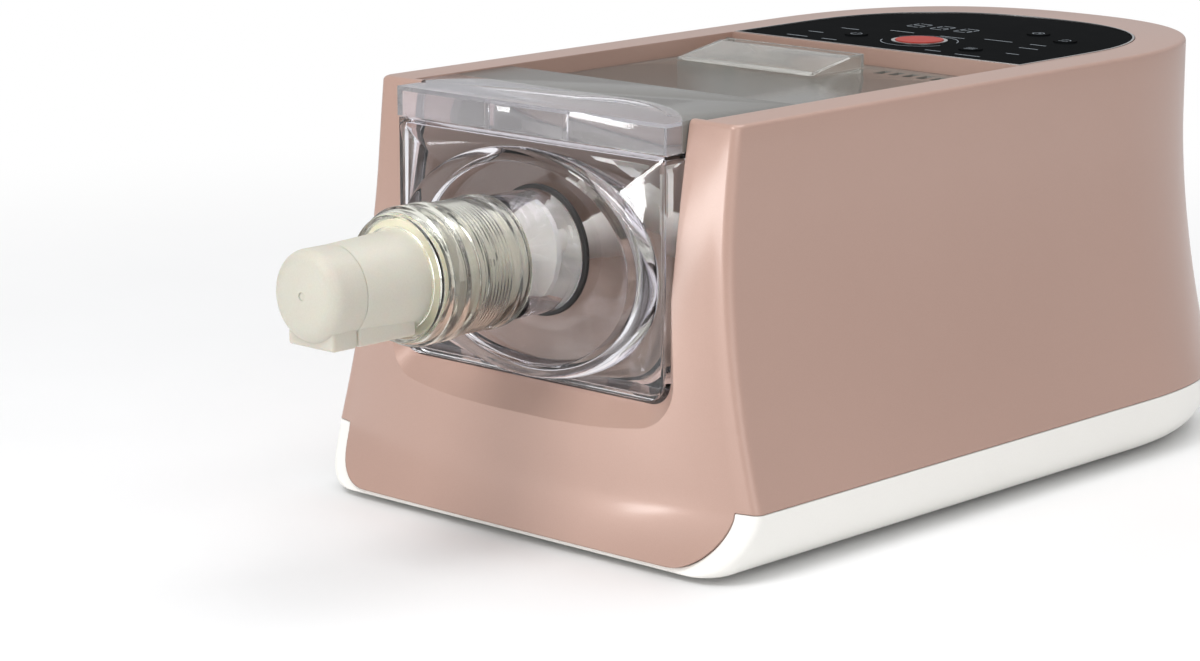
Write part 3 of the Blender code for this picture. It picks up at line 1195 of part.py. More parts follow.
subtract(bracket, rod("neck_hole", MOTOR_NECK_RADIUS + GAP, CASE_BACK - OVERRUN,
                      MOTOR_FRONT + OVERRUN, 0, MOTOR_HEIGHT, steps=ROUND_STEPS))
piece("motor_bracket", bracket, steel, smooth=False)

# Gearbox: a front plate and a deep case, each with its bearing
case_low = MOTOR_HEIGHT - CASE_SKIRT
case_high = AXIS_HEIGHT + CASE_HALF
plate = slab("plate", [capsule(CASE_HALF, case_low, case_high)], PLATE_FRONT, PLATE_BACK, "Y")
unite(plate, rod("plate_boss", BEARING_RADIUS + CASE_WALL, PLATE_FRONT + GAP,
                 PLATE_FRONT + BEARING_WIDTH, 0, AXIS_HEIGHT, steps=ROUND_STEPS))
subtract(plate, rod("plate_bore", BEARING_RADIUS + GAP, PLATE_FRONT - OVERRUN,
                    PLATE_BACK + OVERRUN, 0, AXIS_HEIGHT, steps=ROUND_STEPS))
subtract(plate, rod("plate_pin", PIN_RADIUS + GAP, PLATE_FRONT - OVERRUN, PLATE_BACK + OVERRUN, 0,
                    IDLER_HEIGHT))
piece("gearbox_plate", plate, black_plastic, smooth=False)
case = slab("case", [capsule(CASE_HALF, case_low, case_high)], CASE_FRONT, CASE_BACK, "Y")
subtract(case, slab("case_hollow", [capsule(CASE_HALF - CASE_WALL, case_low + CASE_WALL,
                                            case_high - CASE_WALL)],
                    CASE_FRONT - OVERRUN, CASE_BACK - CASE_WALL, "Y"))
unite(case, rod("case_boss", BEARING_RADIUS + CASE_WALL, REAR_BEARING_FRONT,
                REAR_BEARING_BACK + GAP, 0, AXIS_HEIGHT, steps=ROUND_STEPS))
subtract(case, rod("case_bore", BEARING_RADIUS + GAP, CASE_FRONT, REAR_BEARING_BACK + GAP, 0,
                   AXIS_HEIGHT, steps=ROUND_STEPS))
subtract(case, rod("case_pin", PIN_RADIUS + GAP, CASE_FRONT, REAR_BEARING_BACK + GAP, 0,
                   IDLER_HEIGHT))
subtract(case, rod("case_shaft_hole", MOTOR_NECK_RADIUS / 2, CASE_FRONT, CASE_BACK + OVERRUN, 0,
                   MOTOR_HEIGHT))
piece("gearbox_case", case, black_plastic, smooth=False)
for name, front in (("front_bearing", PLATE_FRONT), ("rear_bearing", REAR_BEARING_FRONT)):
    inner = SHAFT_RADIUS + GAP
    ring = turned(name, [(inner, front + GAP), (BEARING_RADIUS, front + GAP),
                         (BEARING_RADIUS, front + BEARING_WIDTH - GAP),
                         (inner, front + BEARING_WIDTH - GAP)])
    piece(name, ring, steel, smooth=False)

# Lid: a smoked shell, higher over the front, with clip ribs and a latch on its nose
LID_SHOULDER = FRAME_BACK + 2 * GAP
lid_outline = [(-LID_NOSE_HALF, -LID_FRONT), (LID_NOSE_HALF, -LID_FRONT),
               (LID_NOSE_HALF, LID_SHOULDER), (LID_HALF, LID_SHOULDER + LATCH_PROUD),
               (LID_HALF, LID_REAR), (-LID_HALF, LID_REAR),
               (-LID_HALF, LID_SHOULDER + LATCH_PROUD), (-LID_NOSE_HALF, LID_SHOULDER)]
lid = slab("lid", [lid_outline], LID_BOTTOM, LID_NOSE_TOP)
subtract(lid, box("lid_step", -BODY_WIDTH, BODY_WIDTH, LID_STEP, BODY_LENGTH, LID_PANEL_TOP,
                  WINDOW_TOP))
edge = CLEAR_WALL
nose_hollow = slab("nose_hollow", [[(-LID_NOSE_HALF + edge, -LID_FRONT + edge),
                                    (LID_NOSE_HALF - edge, -LID_FRONT + edge),
                                    (LID_NOSE_HALF - edge, LID_STEP - edge),
                                    (-LID_NOSE_HALF + edge, LID_STEP - edge)]],
                   LID_BOTTOM - OVERRUN, LID_NOSE_TOP - edge)
rear_hollow = box("rear_hollow", -LID_HALF + edge, LID_HALF - edge, LID_SHOULDER + edge,
                  LID_REAR - edge, LID_BOTTOM - OVERRUN, LID_PANEL_TOP - edge)
subtract(lid, nose_hollow, rear_hollow)
crest_outer = arc_band(CREST_POINTS, CREST_HALF)
unite(lid, slab("crest", [crest_outer], LID_NOSE_TOP - edge / 2, LID_NOSE_TOP + CREST_RISE))
for side in (-1, 1):
    x = side * LATCH_HALF
    unite(lid, box("clip_rib", x - LATCH_RIB / 2, x + LATCH_RIB / 2, -LID_FRONT - LATCH_PROUD,
                   -LID_FRONT + edge / 2, LID_BOTTOM, LID_NOSE_TOP - CREST_RISE))
    ear_x = sorted((side * LID_HALF, side * (LID_HALF - edge)))
    ear = rod("ear", HINGE_EAR, *ear_x)
    ear.data.transform(Matrix.Translation((0, HINGE_BACK, HINGE_HEIGHT))
                       @ Matrix.Rotation(-math.pi / 2, 4, "Z"))
    unite(lid, ear)
    unite(lid, box("ear_root", *ear_x, HINGE_BACK - HINGE_EAR, LID_REAR - GAP,
                   LID_PANEL_TOP - edge, HINGE_HEIGHT))
    ear_hole = rod("ear_hole", HINGE_PIN_RADIUS + FIT, *sorted((0, side * BODY_WIDTH)))
    ear_hole.data.transform(Matrix.Translation((0, HINGE_BACK, HINGE_HEIGHT))
                            @ Matrix.Rotation(-math.pi / 2, 4, "Z"))
    subtract(lid, ear_hole)
    pin_x = sorted((side * (LID_HALF - edge + GAP), side * (TROUGH_HALF + LIP_WALL)))
    hinge_pin = rod("hinge_pin", HINGE_PIN_RADIUS, *pin_x)
    hinge_pin.data.transform(Matrix.Translation((0, HINGE_BACK, HINGE_HEIGHT))
                             @ Matrix.Rotation(-math.pi / 2, 4, "Z"))
    piece("hinge_pin_left" if side < 0 else "hinge_pin_right", hinge_pin, steel)
unite(lid, box("latch_tab", -LATCH_HALF, LATCH_HALF, -LID_FRONT - LATCH_PROUD / 2,
               -LID_FRONT + edge / 2, LID_BOTTOM + LATCH_LIFT, LID_NOSE_TOP - 2 * CREST_RISE))
subtract(lid, box("inlet_opening", -INLET_LEFT + INLET_WALL, INLET_RIGHT - INLET_WALL,
                  INLET_FRONT + INLET_LAND, INLET_REAR - INLET_WALL, LID_BOTTOM - OVERRUN,
                  WINDOW_TOP))
for slot in range(STEAM_COUNT):
    x = STEAM_FIRST - STEAM_PITCH * slot
    subtract(lid, box("steam_slot", x - STEAM_WIDTH, x, INLET_REAR - STEAM_LENGTH, INLET_REAR,
                      LID_PANEL_TOP - CLEAR_WALL - OVERRUN, WINDOW_TOP))
magnet_x = LID_HALF - edge - MAGNET_RADIUS - GAP
unite(lid, rod("magnet_cup", MAGNET_RADIUS + edge / 2, LID_BOTTOM + GAP, LID_PANEL_TOP - edge / 2,
               magnet_x, MAGNET_BACK, "Z"))
subtract(lid, rod("magnet_pocket", MAGNET_RADIUS + GAP, LID_BOTTOM - OVERRUN,
                  LID_BOTTOM + MAGNET_THICKNESS + GAP, magnet_x, MAGNET_BACK, "Z"))
piece("lid", lid, lid_smoke, lid_hinge)
magnet = rod("magnet", MAGNET_RADIUS, LID_BOTTOM, LID_BOTTOM + MAGNET_THICKNESS, magnet_x,
             MAGNET_BACK, "Z")
piece("lid_magnet", magnet, steel, lid_hinge)

# Water inlet: a clear wedge-shaped funnel over the lid's opening
inlet_floor = LID_PANEL_TOP + GAP
wedge = slab("wedge", [[(INLET_FRONT, inlet_floor), (INLET_REAR, inlet_floor),
                        (INLET_REAR, INLET_TOP), (INLET_REAR - INLET_SLOT, INLET_TOP),
                        (INLET_FRONT, inlet_floor + INLET_WALL)]], -INLET_LEFT, INLET_RIGHT, "X")
subtract(wedge, slab("wedge_hollow", [[(INLET_FRONT + INLET_LAND, inlet_floor - OVERRUN),
                                       (INLET_REAR - INLET_WALL, inlet_floor - OVERRUN),
                                       (INLET_REAR - INLET_WALL, INLET_TOP + OVERRUN),
                                       (INLET_REAR - INLET_SLOT, INLET_TOP + OVERRUN),
                                       (INLET_REAR - INLET_SLOT, INLET_TOP - INLET_WALL),
                                       (INLET_FRONT + INLET_LAND, inlet_floor + INLET_WALL / 2)]],
                     -INLET_LEFT + INLET_WALL, INLET_RIGHT - INLET_WALL, "X"))
piece("lid_inlet", wedge, cover_clear, lid_hinge, smooth=False)

# Control panel: a glass in its silver trim, with five pressed keys and a start ring
trim = slab("trim", [panel_outline(GAP), panel_outline(TRIM_WIDTH)], PANEL_FLOOR + GAP,
            BODY_HEIGHT + TRIM_PROUD)
piece("panel_trim", trim, silver_paint, smooth=False)
key_places = {name: (x, PANEL_FRONT + y) for name, (x, y) in KEY_SETBACKS.items()}
glass_rings = [panel_outline(TRIM_WIDTH + GAP)]
START_OUTER = START_RADIUS + START_RING + 2 * GAP
glass_rings.append(oval(START_OUTER + GAP, START_OUTER + GAP, 0, START_BACK))
for x, y in key_places.values():
    glass_rings.append(oval(KEY_RADIUS + GAP, KEY_RADIUS + GAP, x, y, SMALL_STEPS))
GLASS_BOTTOM = PANEL_FLOOR + GAP
GLASS_TOP = BODY_HEIGHT - GAP
piece("control_glass", slab("glass", glass_rings, GLASS_BOTTOM, GLASS_TOP), black_glass,
      smooth=False)
start_ring = slab("start_ring", [oval(START_OUTER, START_OUTER, 0, START_BACK),
                                 oval(START_RADIUS + GAP, START_RADIUS + GAP, 0, START_BACK)],
                  GLASS_BOTTOM, BODY_HEIGHT + TRIM_PROUD)
piece("start_button_ring", start_ring, silver_paint, smooth=False)
FLANGE_TOP = GLASS_BOTTOM - GAP
buttons = [("start_button", 0, START_BACK, START_RADIUS, START_PROUD, red_plastic)]
buttons += [(name, x, y, KEY_RADIUS, KEY_PROUD, black_glass) for name, (x, y) in key_places.items()]
board = box("board", -BOARD_HALF - BOSS_RADIUS, BOARD_HALF + BOSS_RADIUS,
            BOARD_FRONT - BOSS_RADIUS, BOARD_FRONT + BOARD_LENGTH, BOARD_HEIGHT,
            BOARD_HEIGHT + BOARD_THICKNESS)
for name, x, y, radius, proud, material in buttons:
    spring_axis = pivot(name + "_axis", x, y, BODY_HEIGHT)
    cap = rod(name, radius, FLANGE_TOP - BUTTON_FLANGE / 2, BODY_HEIGHT + proud, x, y, "Z",
              ROUND_STEPS if radius > KEY_RADIUS else SMALL_STEPS)
    unite(cap, rod("skirt", radius + BUTTON_SKIRT, FLANGE_TOP - BUTTON_FLANGE, FLANGE_TOP, x, y, "Z",
                   SMALL_STEPS))
    piece(name, cap, material, spring_axis)
    switch_top = FLANGE_TOP - BUTTON_FLANGE - BUTTON_TRAVEL - GAP
    unite(board, box("tact_switch", x - SWITCH_HALF, x + SWITCH_HALF, y - SWITCH_HALF,
                     y + SWITCH_HALF, BOARD_HEIGHT + BOARD_THICKNESS / 2, switch_top))
piece("control_board", board, green_board, smooth=False)
display_front = PANEL_FRONT + DISPLAY_SETBACK
display = box("display", -DISPLAY_LEFT, DISPLAY_RIGHT, display_front, display_front + DISPLAY_LENGTH,
              BOARD_HEIGHT + BOARD_THICKNESS + GAP, GLASS_BOTTOM - GAP)
piece("display_module", display, black_plastic, smooth=False)

# Power board on the base's bosses, the power inlet and the lid switch
board_x0, board_x1 = power_x
board_y0, board_y1 = power_y
power = box("power", board_x0 - BOSS_RADIUS, board_x1 + BOSS_RADIUS, board_y0 - BOSS_RADIUS,
            board_y1 + BOSS_RADIUS, POWER_BOARD_HEIGHT, POWER_BOARD_HEIGHT + BOARD_THICKNESS)
part_low = POWER_BOARD_HEIGHT + BOARD_THICKNESS / 2
unite(power, box("transformer", board_x0 + BOSS_RADIUS, board_x1 - BOSS_RADIUS,
                 board_y0 + BOSS_RADIUS, board_y0 + BOSS_RADIUS + TRANSFORMER_LENGTH, part_low,
                 part_low + TRANSFORMER_RISE))
unite(power, rod("capacitor", CAPACITOR_RADIUS, part_low, part_low + TRANSFORMER_RISE,
                 (board_x0 + board_x1) / 2, board_y1 - CAPACITOR_RADIUS - BOSS_RADIUS, "Z"))
piece("power_board", power, green_board, smooth=False)
socket = box("socket", -INLET_SOCKET_HALF, INLET_SOCKET_HALF, INLET_BACK - SOCKET_DEPTH,
             INLET_BACK, INLET_SOCKET_HEIGHT - INLET_SOCKET_RISE,
             INLET_SOCKET_HEIGHT + INLET_SOCKET_RISE)
socket_wall = INLET_FLANGE / 2
subtract(socket, box("socket_well", -INLET_SOCKET_HALF + socket_wall,
                     INLET_SOCKET_HALF - socket_wall, INLET_BACK - SOCKET_DEPTH + INLET_FLANGE,
                     INLET_BACK + OVERRUN, INLET_SOCKET_HEIGHT - INLET_SOCKET_RISE + socket_wall,
                     INLET_SOCKET_HEIGHT + INLET_SOCKET_RISE - socket_wall))
for x, z in SOCKET_PINS:
    unite(socket, box("socket_pin", x - PIN_HALF, x + PIN_HALF,
                      INLET_BACK - SOCKET_DEPTH + INLET_FLANGE / 2, INLET_BACK - INLET_FLANGE,
                      INLET_SOCKET_HEIGHT + z - PIN_RISE, INLET_SOCKET_HEIGHT + z + PIN_RISE))
unite(socket, box("socket_flange", -INLET_SOCKET_HALF - INLET_FLANGE,
                  INLET_SOCKET_HALF + INLET_FLANGE, INLET_BACK - SOCKET_DEPTH + GAP,
                  INLET_BACK - SOCKET_DEPTH + INLET_FLANGE - GAP,
                  INLET_SOCKET_HEIGHT - INLET_SOCKET_RISE - INLET_FLANGE,
                  INLET_SOCKET_HEIGHT + INLET_SOCKET_RISE + INLET_FLANGE))
piece("power_inlet", socket, black_plastic, smooth=False)
reed_x = CHAMBER_HALF + cradle_grow + REED_HALF + 2 * GAP
reed = box("reed", reed_x - REED_HALF, reed_x + REED_HALF, MAGNET_BACK - REED_HALF,
           MAGNET_BACK + REED_HALF, CRADLE_TOP - LEDGE_THICKNESS - REED_RISE,
           CRADLE_TOP - LEDGE_THICKNESS - GAP)
piece("reed_switch", reed, black_plastic, smooth=False)

# The Boolean steps, in the order they were named
for target, other, operation in boolean_steps:
    modifier = target.modifiers.new(other.name, "BOOLEAN")
    modifier.operation = operation
    modifier.solver = "EXACT"
    modifier.object = other
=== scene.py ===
# The looks of an electric pasta maker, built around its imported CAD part.
import json
import math

import bmesh
import bpy
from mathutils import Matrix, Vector


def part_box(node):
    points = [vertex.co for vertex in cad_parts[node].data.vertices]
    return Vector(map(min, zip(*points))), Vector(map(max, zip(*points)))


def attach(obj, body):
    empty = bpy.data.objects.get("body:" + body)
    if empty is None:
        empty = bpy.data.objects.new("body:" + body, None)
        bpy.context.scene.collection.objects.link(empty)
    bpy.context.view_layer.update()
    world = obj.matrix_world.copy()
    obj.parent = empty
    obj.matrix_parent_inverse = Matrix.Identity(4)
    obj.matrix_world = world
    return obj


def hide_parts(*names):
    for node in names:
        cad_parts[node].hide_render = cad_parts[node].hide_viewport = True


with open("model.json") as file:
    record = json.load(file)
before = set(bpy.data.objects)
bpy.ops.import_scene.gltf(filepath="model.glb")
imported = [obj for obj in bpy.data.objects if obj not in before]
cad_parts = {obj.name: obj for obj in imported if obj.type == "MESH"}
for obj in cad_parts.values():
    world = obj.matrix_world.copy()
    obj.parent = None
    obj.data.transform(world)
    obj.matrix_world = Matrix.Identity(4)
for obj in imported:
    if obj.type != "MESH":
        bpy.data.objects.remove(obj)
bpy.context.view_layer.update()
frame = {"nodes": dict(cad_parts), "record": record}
nodes = frame["nodes"]
body_of = {node: body for body, held in frame["record"]["behaviour"]["bodies"].items()
           for node in held}

# Base tray and rubber feet
# The base is an injection moulding in pearl white ABS with a fine satin sheen, rounded under
# all round. It stands on four push-in rubber feet, which are dull and a little dusty.
GAP = 0.0003
OVERRUN = 0.0120
SEAM = 0.0335
UNDERSIDE = 0.0035
FLOOR = 0.0030
BASE_WALL = 0.0028
BASE_TUCK = 0.0165
BASE_FRONT_TUCK = 0.0040
SHELL_WALL = 0.0030
SHELL_HEIGHT = 0.2100
SHELL_HALF = 0.1172
SHELL_LENGTH = 0.4366
SIDE_FLARE = 0.0230
REAR_FLARE = 0.0090
FLARE_TOP = 0.1700
FLARE_POWER = 1.8
REAR_ROUNDING = 0.1387
REAR_SQUARENESS = 2.4
BARREL_REACH = 0.0950
FRONT_LEAN = 0.0095
LEAN_POWER = 2.1
FRONT_BOW = 0.0160
BOW_POWER = 3
TOE_REACH = 0.0315
TOE_FILLET = 0.0080
TOE_POWER = 1.6
CORNER_FILLET = 0.0050
TONGUE_HALF = 0.1285
TONGUE_BOTTOM = 0.0062
TONGUE_GAP = 0.0009
POCKET_TOP = 0.0600
FOOT_RADIUS = 0.0110
FOOT_POCKET = 0.0015
FOOT_X = 0.0880
FOOT_Y = (0.0200, 0.3600)
POST_RADIUS = 0.0060
CRADLE_POST_X = 0.0400
CRADLE_POST_Y = (0.0340, 0.2050)
BRACKET_POST_X = 0.0260
BRACKET_POST_Y = 0.2947
BOSS_RADIUS = 0.0030
FRONT_POINTS = 44
FILLET_POINTS = 8
REAR_POINTS = 84
ROUND_POINTS = 28
UNDER_POINTS = 14
CORNER_POINTS = 14
TOE_POINTS = 8
CREASE = 32.0
WELD = 0.000005
SHADE_ENDS = (0.35, 0.65)
SHEEN_DRIFT = 0.15
GRAIN_HEIGHT = 0.0002
front_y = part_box("extrusion_barrel")[0].y + BARREL_REACH
far_side = 2 * SHELL_HALF


def feed(tree, step, *sources, **named):
    """Give the sockets of a finish's step, in order or by name, values or other steps' results."""
    feeds = list(enumerate(sources))
    feeds += [(socket.replace("_", " "), value) for socket, value in named.items()]
    for socket, value in feeds:
        if isinstance(value, bpy.types.NodeSocket):
            tree.links.new(value, step.inputs[socket])
        else:
            step.inputs[socket].default_value = value
    return step


def add(tree, kind, *sources, **named):
    """Add one step to a finish and feed it."""
    return feed(tree, tree.nodes.new("ShaderNode" + kind), *sources, **named)


def noise(tree, scale, detail, stretch=(1, 1, 1)):
    """A noise fixed to the piece, which the finishes below use for grain and cloudiness."""
    place = add(tree, "TexCoord").outputs["Object"]
    sized = add(tree, "Mapping", Vector=place, Scale=stretch).outputs["Vector"]
    return add(tree, "TexNoise", Vector=sized, Scale=scale, Detail=detail).outputs["Fac"]


def moulded(name, light, dark, roughness, cloud=9.0, grain=1200.0, bump=0.04, stretch=(1, 1, 1),
            **sockets):
    """A finish whose colour drifts between two shades, with its own grain and sheen."""
    material = bpy.data.materials.new(name)
    material.use_nodes = True
    tree = material.node_tree
    shader = tree.nodes["Principled BSDF"]
    drift = noise(tree, cloud, 4.0)
    fine = noise(tree, grain, 2.0, stretch)
    both = add(tree, "Mix", Factor=0.5, A=drift, B=fine).outputs["Result"]
    shade = add(tree, "ValToRGB", Fac=both)
    for end, place, colour in zip(shade.color_ramp.elements, SHADE_ENDS, (dark, light)):
        end.position = place
        end.color = (*colour, 1)
    sheen = add(tree, "MapRange", Value=drift, To_Min=roughness * (1 - SHEEN_DRIFT),
                To_Max=roughness * (1 + SHEEN_DRIFT))
    relief = add(tree, "Bump", Height=fine, Strength=bump, Distance=GRAIN_HEIGHT)
    feed(tree, shader, Base_Color=shade.outputs["Color"], Roughness=sheen.outputs["Result"],
         Normal=relief.outputs["Normal"], **sockets)
    return material


def soft_edges(material, radius):
    """Shade the last millimetre or so of each edge as round, as a moulding's edges are."""
    tree = material.node_tree
    edge = add(tree, "Bevel", Radius=radius)
    edge.samples = 4
    relief = next(step for step in tree.nodes if step.type == "BUMP")
    feed(tree, relief, Normal=edge.outputs["Normal"])
    return material


def dress(material, *names):
    """Give CAD pieces their finish, smooth over their facets and crisp at their real edges."""
    for name in names:
        node = nodes[name]
        node.data.materials.clear()
        node.data.materials.append(material)
        node.data.shade_smooth()
        weld = node.modifiers.new("weld", "WELD")
        weld.merge_threshold = WELD
        crisp = node.modifiers.new("crisp", "EDGE_SPLIT")
        crisp.split_angle = math.radians(CREASE)


def stand_in(piece, name, material, crease=None):
    """Finish a rebuilt moulding and let it stand for its CAD piece."""
    piece.data.name = piece.name
    piece.data.materials.clear()
    piece.data.materials.append(material)
    for face in piece.data.polygons:
        face.material_index = 0
    piece.data.shade_smooth()
    if crease:
        crisp = piece.modifiers.new("crisp", "EDGE_SPLIT")
        crisp.split_angle = math.radians(crease)
    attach(piece, body_of[name])
    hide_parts(name)


def quarter(steps):
    """The angles of a quarter turn, from first to last."""
    return [math.pi / 2 * step / steps for step in range(steps + 1)]


def circle(steps):
    """The angles of a whole turn, without the first one again."""
    return [2 * math.pi * step / steps for step in range(steps)]


def squared(value):
    return math.copysign(abs(value) ** (2 / REAR_SQUARENESS), value)


def flare(z):
    return max(0, (FLARE_TOP - z) / (FLARE_TOP - SEAM)) ** FLARE_POWER


def toe(z):
    return min(1, max(0, (SEAM - z) / (SEAM - UNDERSIDE))) ** TOE_POWER


def front_line(x, z, half):
    """Where the leaning, bowed front stands at one place, running out to a toe at its foot."""
    lean = 1 - (max(0, z) / SHELL_HEIGHT) ** LEAN_POWER
    y = -lean * (FRONT_LEAN + FRONT_BOW * (1 - min(1, abs(x) / half) ** BOW_POWER))
    return y - (TOE_REACH + y) * toe(z)


def rear_curve(half, reach):
    """The squared half round that closes an outline at the back."""
    curve = []
    for step in range(REAR_POINTS + 1):
        angle = math.pi * step / REAR_POINTS
        curve.append((half * squared(math.cos(angle)),
                      SHELL_LENGTH - REAR_ROUNDING + reach * squared(math.sin(angle))))
    return curve


def body_loop(z, inset=0.0, front_inset=None, tuck=0.0, front_tuck=0.0, side_z=None):
    """The machine's outline at one height: bowed front, flared sides and rounded rear."""
    at = z if side_z is None else side_z
    front_step = (inset if front_inset is None else front_inset) + front_tuck
    half = SHELL_HALF + SIDE_FLARE * flare(at)
    inner = half - inset - tuck
    reach = REAR_ROUNDING + REAR_FLARE * flare(at) - inset - tuck
    fillet = CORNER_FILLET + TOE_FILLET * toe(z)
    edge = inner - fillet
    loop = []
    for step in range(FRONT_POINTS + 1):
        x = edge * (2 * step / FRONT_POINTS - 1)
        loop.append((x, front_line(x, z, half) + front_step))
    corner_y = loop[-1][1]
    bend = [(edge + fillet * math.sin(angle), corner_y + fillet * (1 - math.cos(angle)))
            for angle in quarter(FILLET_POINTS)[1:]]
    loop += bend + rear_curve(inner, reach) + [(-x, y) for x, y in reversed(bend)]
    return [Vector((x, y + front_y, z)) for x, y in loop]


def base_loops(low, high, inset, front_inset):
    """The base's outlines from its underside up, rounded under like a quarter ellipse."""
    loops = []
    for angle in quarter(UNDER_POINTS):
        under = 1 - math.sin(angle)
        z = high - (high - low) * math.cos(angle)
        loops.append(body_loop(z, inset, front_inset, BASE_TUCK * under,
                               BASE_FRONT_TUCK * under, SEAM))
    return loops


def placed(name, skin):
    """Put a finished skin into the scene as an object of its own."""
    mesh = bpy.data.meshes.new(name)
    skin.to_mesh(mesh)
    skin.free()
    made = bpy.data.objects.new(name, mesh)
    bpy.context.scene.collection.objects.link(made)
    return made


def rolled(name, loops, closed=True):
    """A skin through a row of loops, closed on itself or else with a flat end on each side."""
    skin = bmesh.new()
    rows = [[skin.verts.new(point) for point in loop] for loop in loops]
    count = len(rows[0])
    for row in range(len(rows) if closed else len(rows) - 1):
        here, there = rows[row], rows[(row + 1) % len(rows)]
        for step in range(count):
            after = (step + 1) % count
            skin.faces.new((here[step], here[after], there[after], there[step]))
    if not closed:
        skin.faces.new(rows[0])
        skin.faces.new(rows[-1][::-1])
    bmesh.ops.recalc_face_normals(skin, faces=skin.faces)
    made = placed(name, skin)
    made.data.shade_smooth()
    return made


def posts(radius, low, high, across, along):
    """Upright round posts at each crossing of some places across and along the machine."""
    return [rolled("post", [[Vector((x + radius * math.cos(angle),
                                     y + front_y + radius * math.sin(angle), z))
                             for angle in circle(ROUND_POINTS)] for z in (low, high)], closed=False)
            for x in across for y in along]


def round_footed(half, low, high, corner, y):
    """An upright outline whose two lower corners are rounded, at one depth."""
    loop = []
    for side, start in ((-1, math.pi), (1, math.pi * 3 / 2)):
        for angle in quarter(CORNER_POINTS):
            loop.append((side * (half - corner) + corner * math.cos(start + angle),
                         low + corner + corner * math.sin(start + angle)))
    loop += [(half, high), (-half, high)]
    return [Vector((x, y + front_y, z)) for x, z in loop]


def shaped(target, joins=(), cuts=(), keeps=()):
    """Join, cut and trim a moulding with other bodies, which are used up, into one body."""
    steps = [(body, "UNION") for body in joins]
    steps += [(body, "DIFFERENCE") for body in cuts]
    steps += [(body, "INTERSECT") for body in keeps]
    for body, operation in steps:
        step = target.modifiers.new("step", "BOOLEAN")
        step.operation = operation
        step.solver = "EXACT"
        step.object = body
    bpy.context.view_layer.update()
    seen = target.evaluated_get(bpy.context.evaluated_depsgraph_get())
    mesh = bpy.data.meshes.new_from_object(seen)
    target.modifiers.clear()
    before = target.data
    target.data = mesh
    bpy.data.meshes.remove(before)
    for body, operation in steps:
        bpy.data.objects.remove(body)
    return target


pearl = soft_edges(moulded("pearl_white", (0.90, 0.885, 0.845), (0.87, 0.855, 0.81), 0.34,
                           grain=1500.0, bump=0.02, Coat_Weight=0.2, Coat_Roughness=0.2),
                   radius=0.0009)
tray = rolled("base_tray_moulding", base_loops(UNDERSIDE, SEAM - GAP, 0, 0), closed=False)
inside = base_loops(UNDERSIDE + FLOOR, SEAM - GAP, BASE_WALL, SHELL_WALL + TONGUE_GAP + BASE_WALL)
inside.append([point + Vector((0, 0, OVERRUN)) for point in inside[-1]])
tongue_round = SEAM - TONGUE_BOTTOM
pocket = rolled("pocket", [round_footed(TONGUE_HALF + GAP, TONGUE_BOTTOM - GAP, SEAM + OVERRUN,
                                        tongue_round + GAP, y)
                           for y in (-far_side, CORNER_FILLET)], closed=False)
toe_heights = [UNDERSIDE + (SEAM - UNDERSIDE) * step / TOE_POINTS for step in range(TOE_POINTS + 1)]
limit = rolled("limit", [body_loop(z, SHELL_WALL + TONGUE_GAP)
                         for z in (-OVERRUN, *toe_heights[1:], POCKET_TOP)], closed=False)
pocket = shaped(pocket, cuts=[limit])
foot_pockets = posts(FOOT_RADIUS + GAP, -OVERRUN, UNDERSIDE + FOOT_POCKET, (-FOOT_X, FOOT_X), FOOT_Y)
post_foot = UNDERSIDE + FLOOR / 2
stands = posts(POST_RADIUS, post_foot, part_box("chamber_cradle")[0].z - GAP,
               (-CRADLE_POST_X, CRADLE_POST_X), CRADLE_POST_Y)
stands += posts(POST_RADIUS, post_foot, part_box("motor_bracket")[0].z - GAP,
                (-BRACKET_POST_X, BRACKET_POST_X), (BRACKET_POST_Y,))
power_low, power_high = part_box("power_board")
stands += posts(BOSS_RADIUS, post_foot, power_low.z - GAP,
                (power_low.x + BOSS_RADIUS, power_high.x - BOSS_RADIUS),
                (power_low.y + BOSS_RADIUS - front_y, power_high.y - BOSS_RADIUS - front_y))
tray = shaped(tray, cuts=[rolled("inside", inside, closed=False), pocket, *foot_pockets])
tray = shaped(tray, joins=stands)
stand_in(tray, "base_tray", pearl, crease=24)
foot_rubber = moulded("foot_rubber", (0.045, 0.043, 0.042), (0.028, 0.027, 0.026), 0.75, bump=0.2)
dress(foot_rubber, "foot_front_left", "foot_front_right", "foot_rear_left", "foot_rear_right")

# Motor, gearbox and boards, inside
# The drive is a steel motor on a folded steel bracket, a black nylon gearbox with white acetal
# wheels, ground steel pins and bearings. The two boards are green fibreglass, and the plug
# inlet, switch and display are black mouldings.
steel = moulded("ground_steel", (0.60, 0.60, 0.61), (0.48, 0.48, 0.49), 0.30, grain=900.0,
                bump=0.08, stretch=(1, 8, 1), Metallic=1.0)
dress(steel, "drive_shaft", "idler_pin", "motor_pinion", "motor", "motor_bracket",
      "front_bearing", "rear_bearing")
acetal = moulded("gear_acetal", (0.80, 0.78, 0.73), (0.74, 0.72, 0.67), 0.4)
dress(acetal, "output_gear", "idler_gear")
black_nylon = moulded("black_nylon", (0.032, 0.032, 0.034), (0.02, 0.02, 0.022), 0.5, bump=0.15)
dress(black_nylon, "cooling_fan", "gearbox_plate", "gearbox_case", "display_module",
      "power_inlet", "reed_switch")
board_green = moulded("board_green", (0.04, 0.19, 0.09), (0.03, 0.14, 0.06), 0.4, cloud=160.0,
                      Coat_Weight=0.3)
dress(board_green, "control_board", "power_board")

# Well liner
# The well under the mixing chamber is moulded in the housing's own rose plastic, left unpainted,
# so it is duller and a little darker than the lacquered shell.
liner_rose = moulded("liner_rose", (0.46, 0.33, 0.275), (0.41, 0.29, 0.24), 0.5, bump=0.06)
dress(liner_rose, "chamber_cradle")

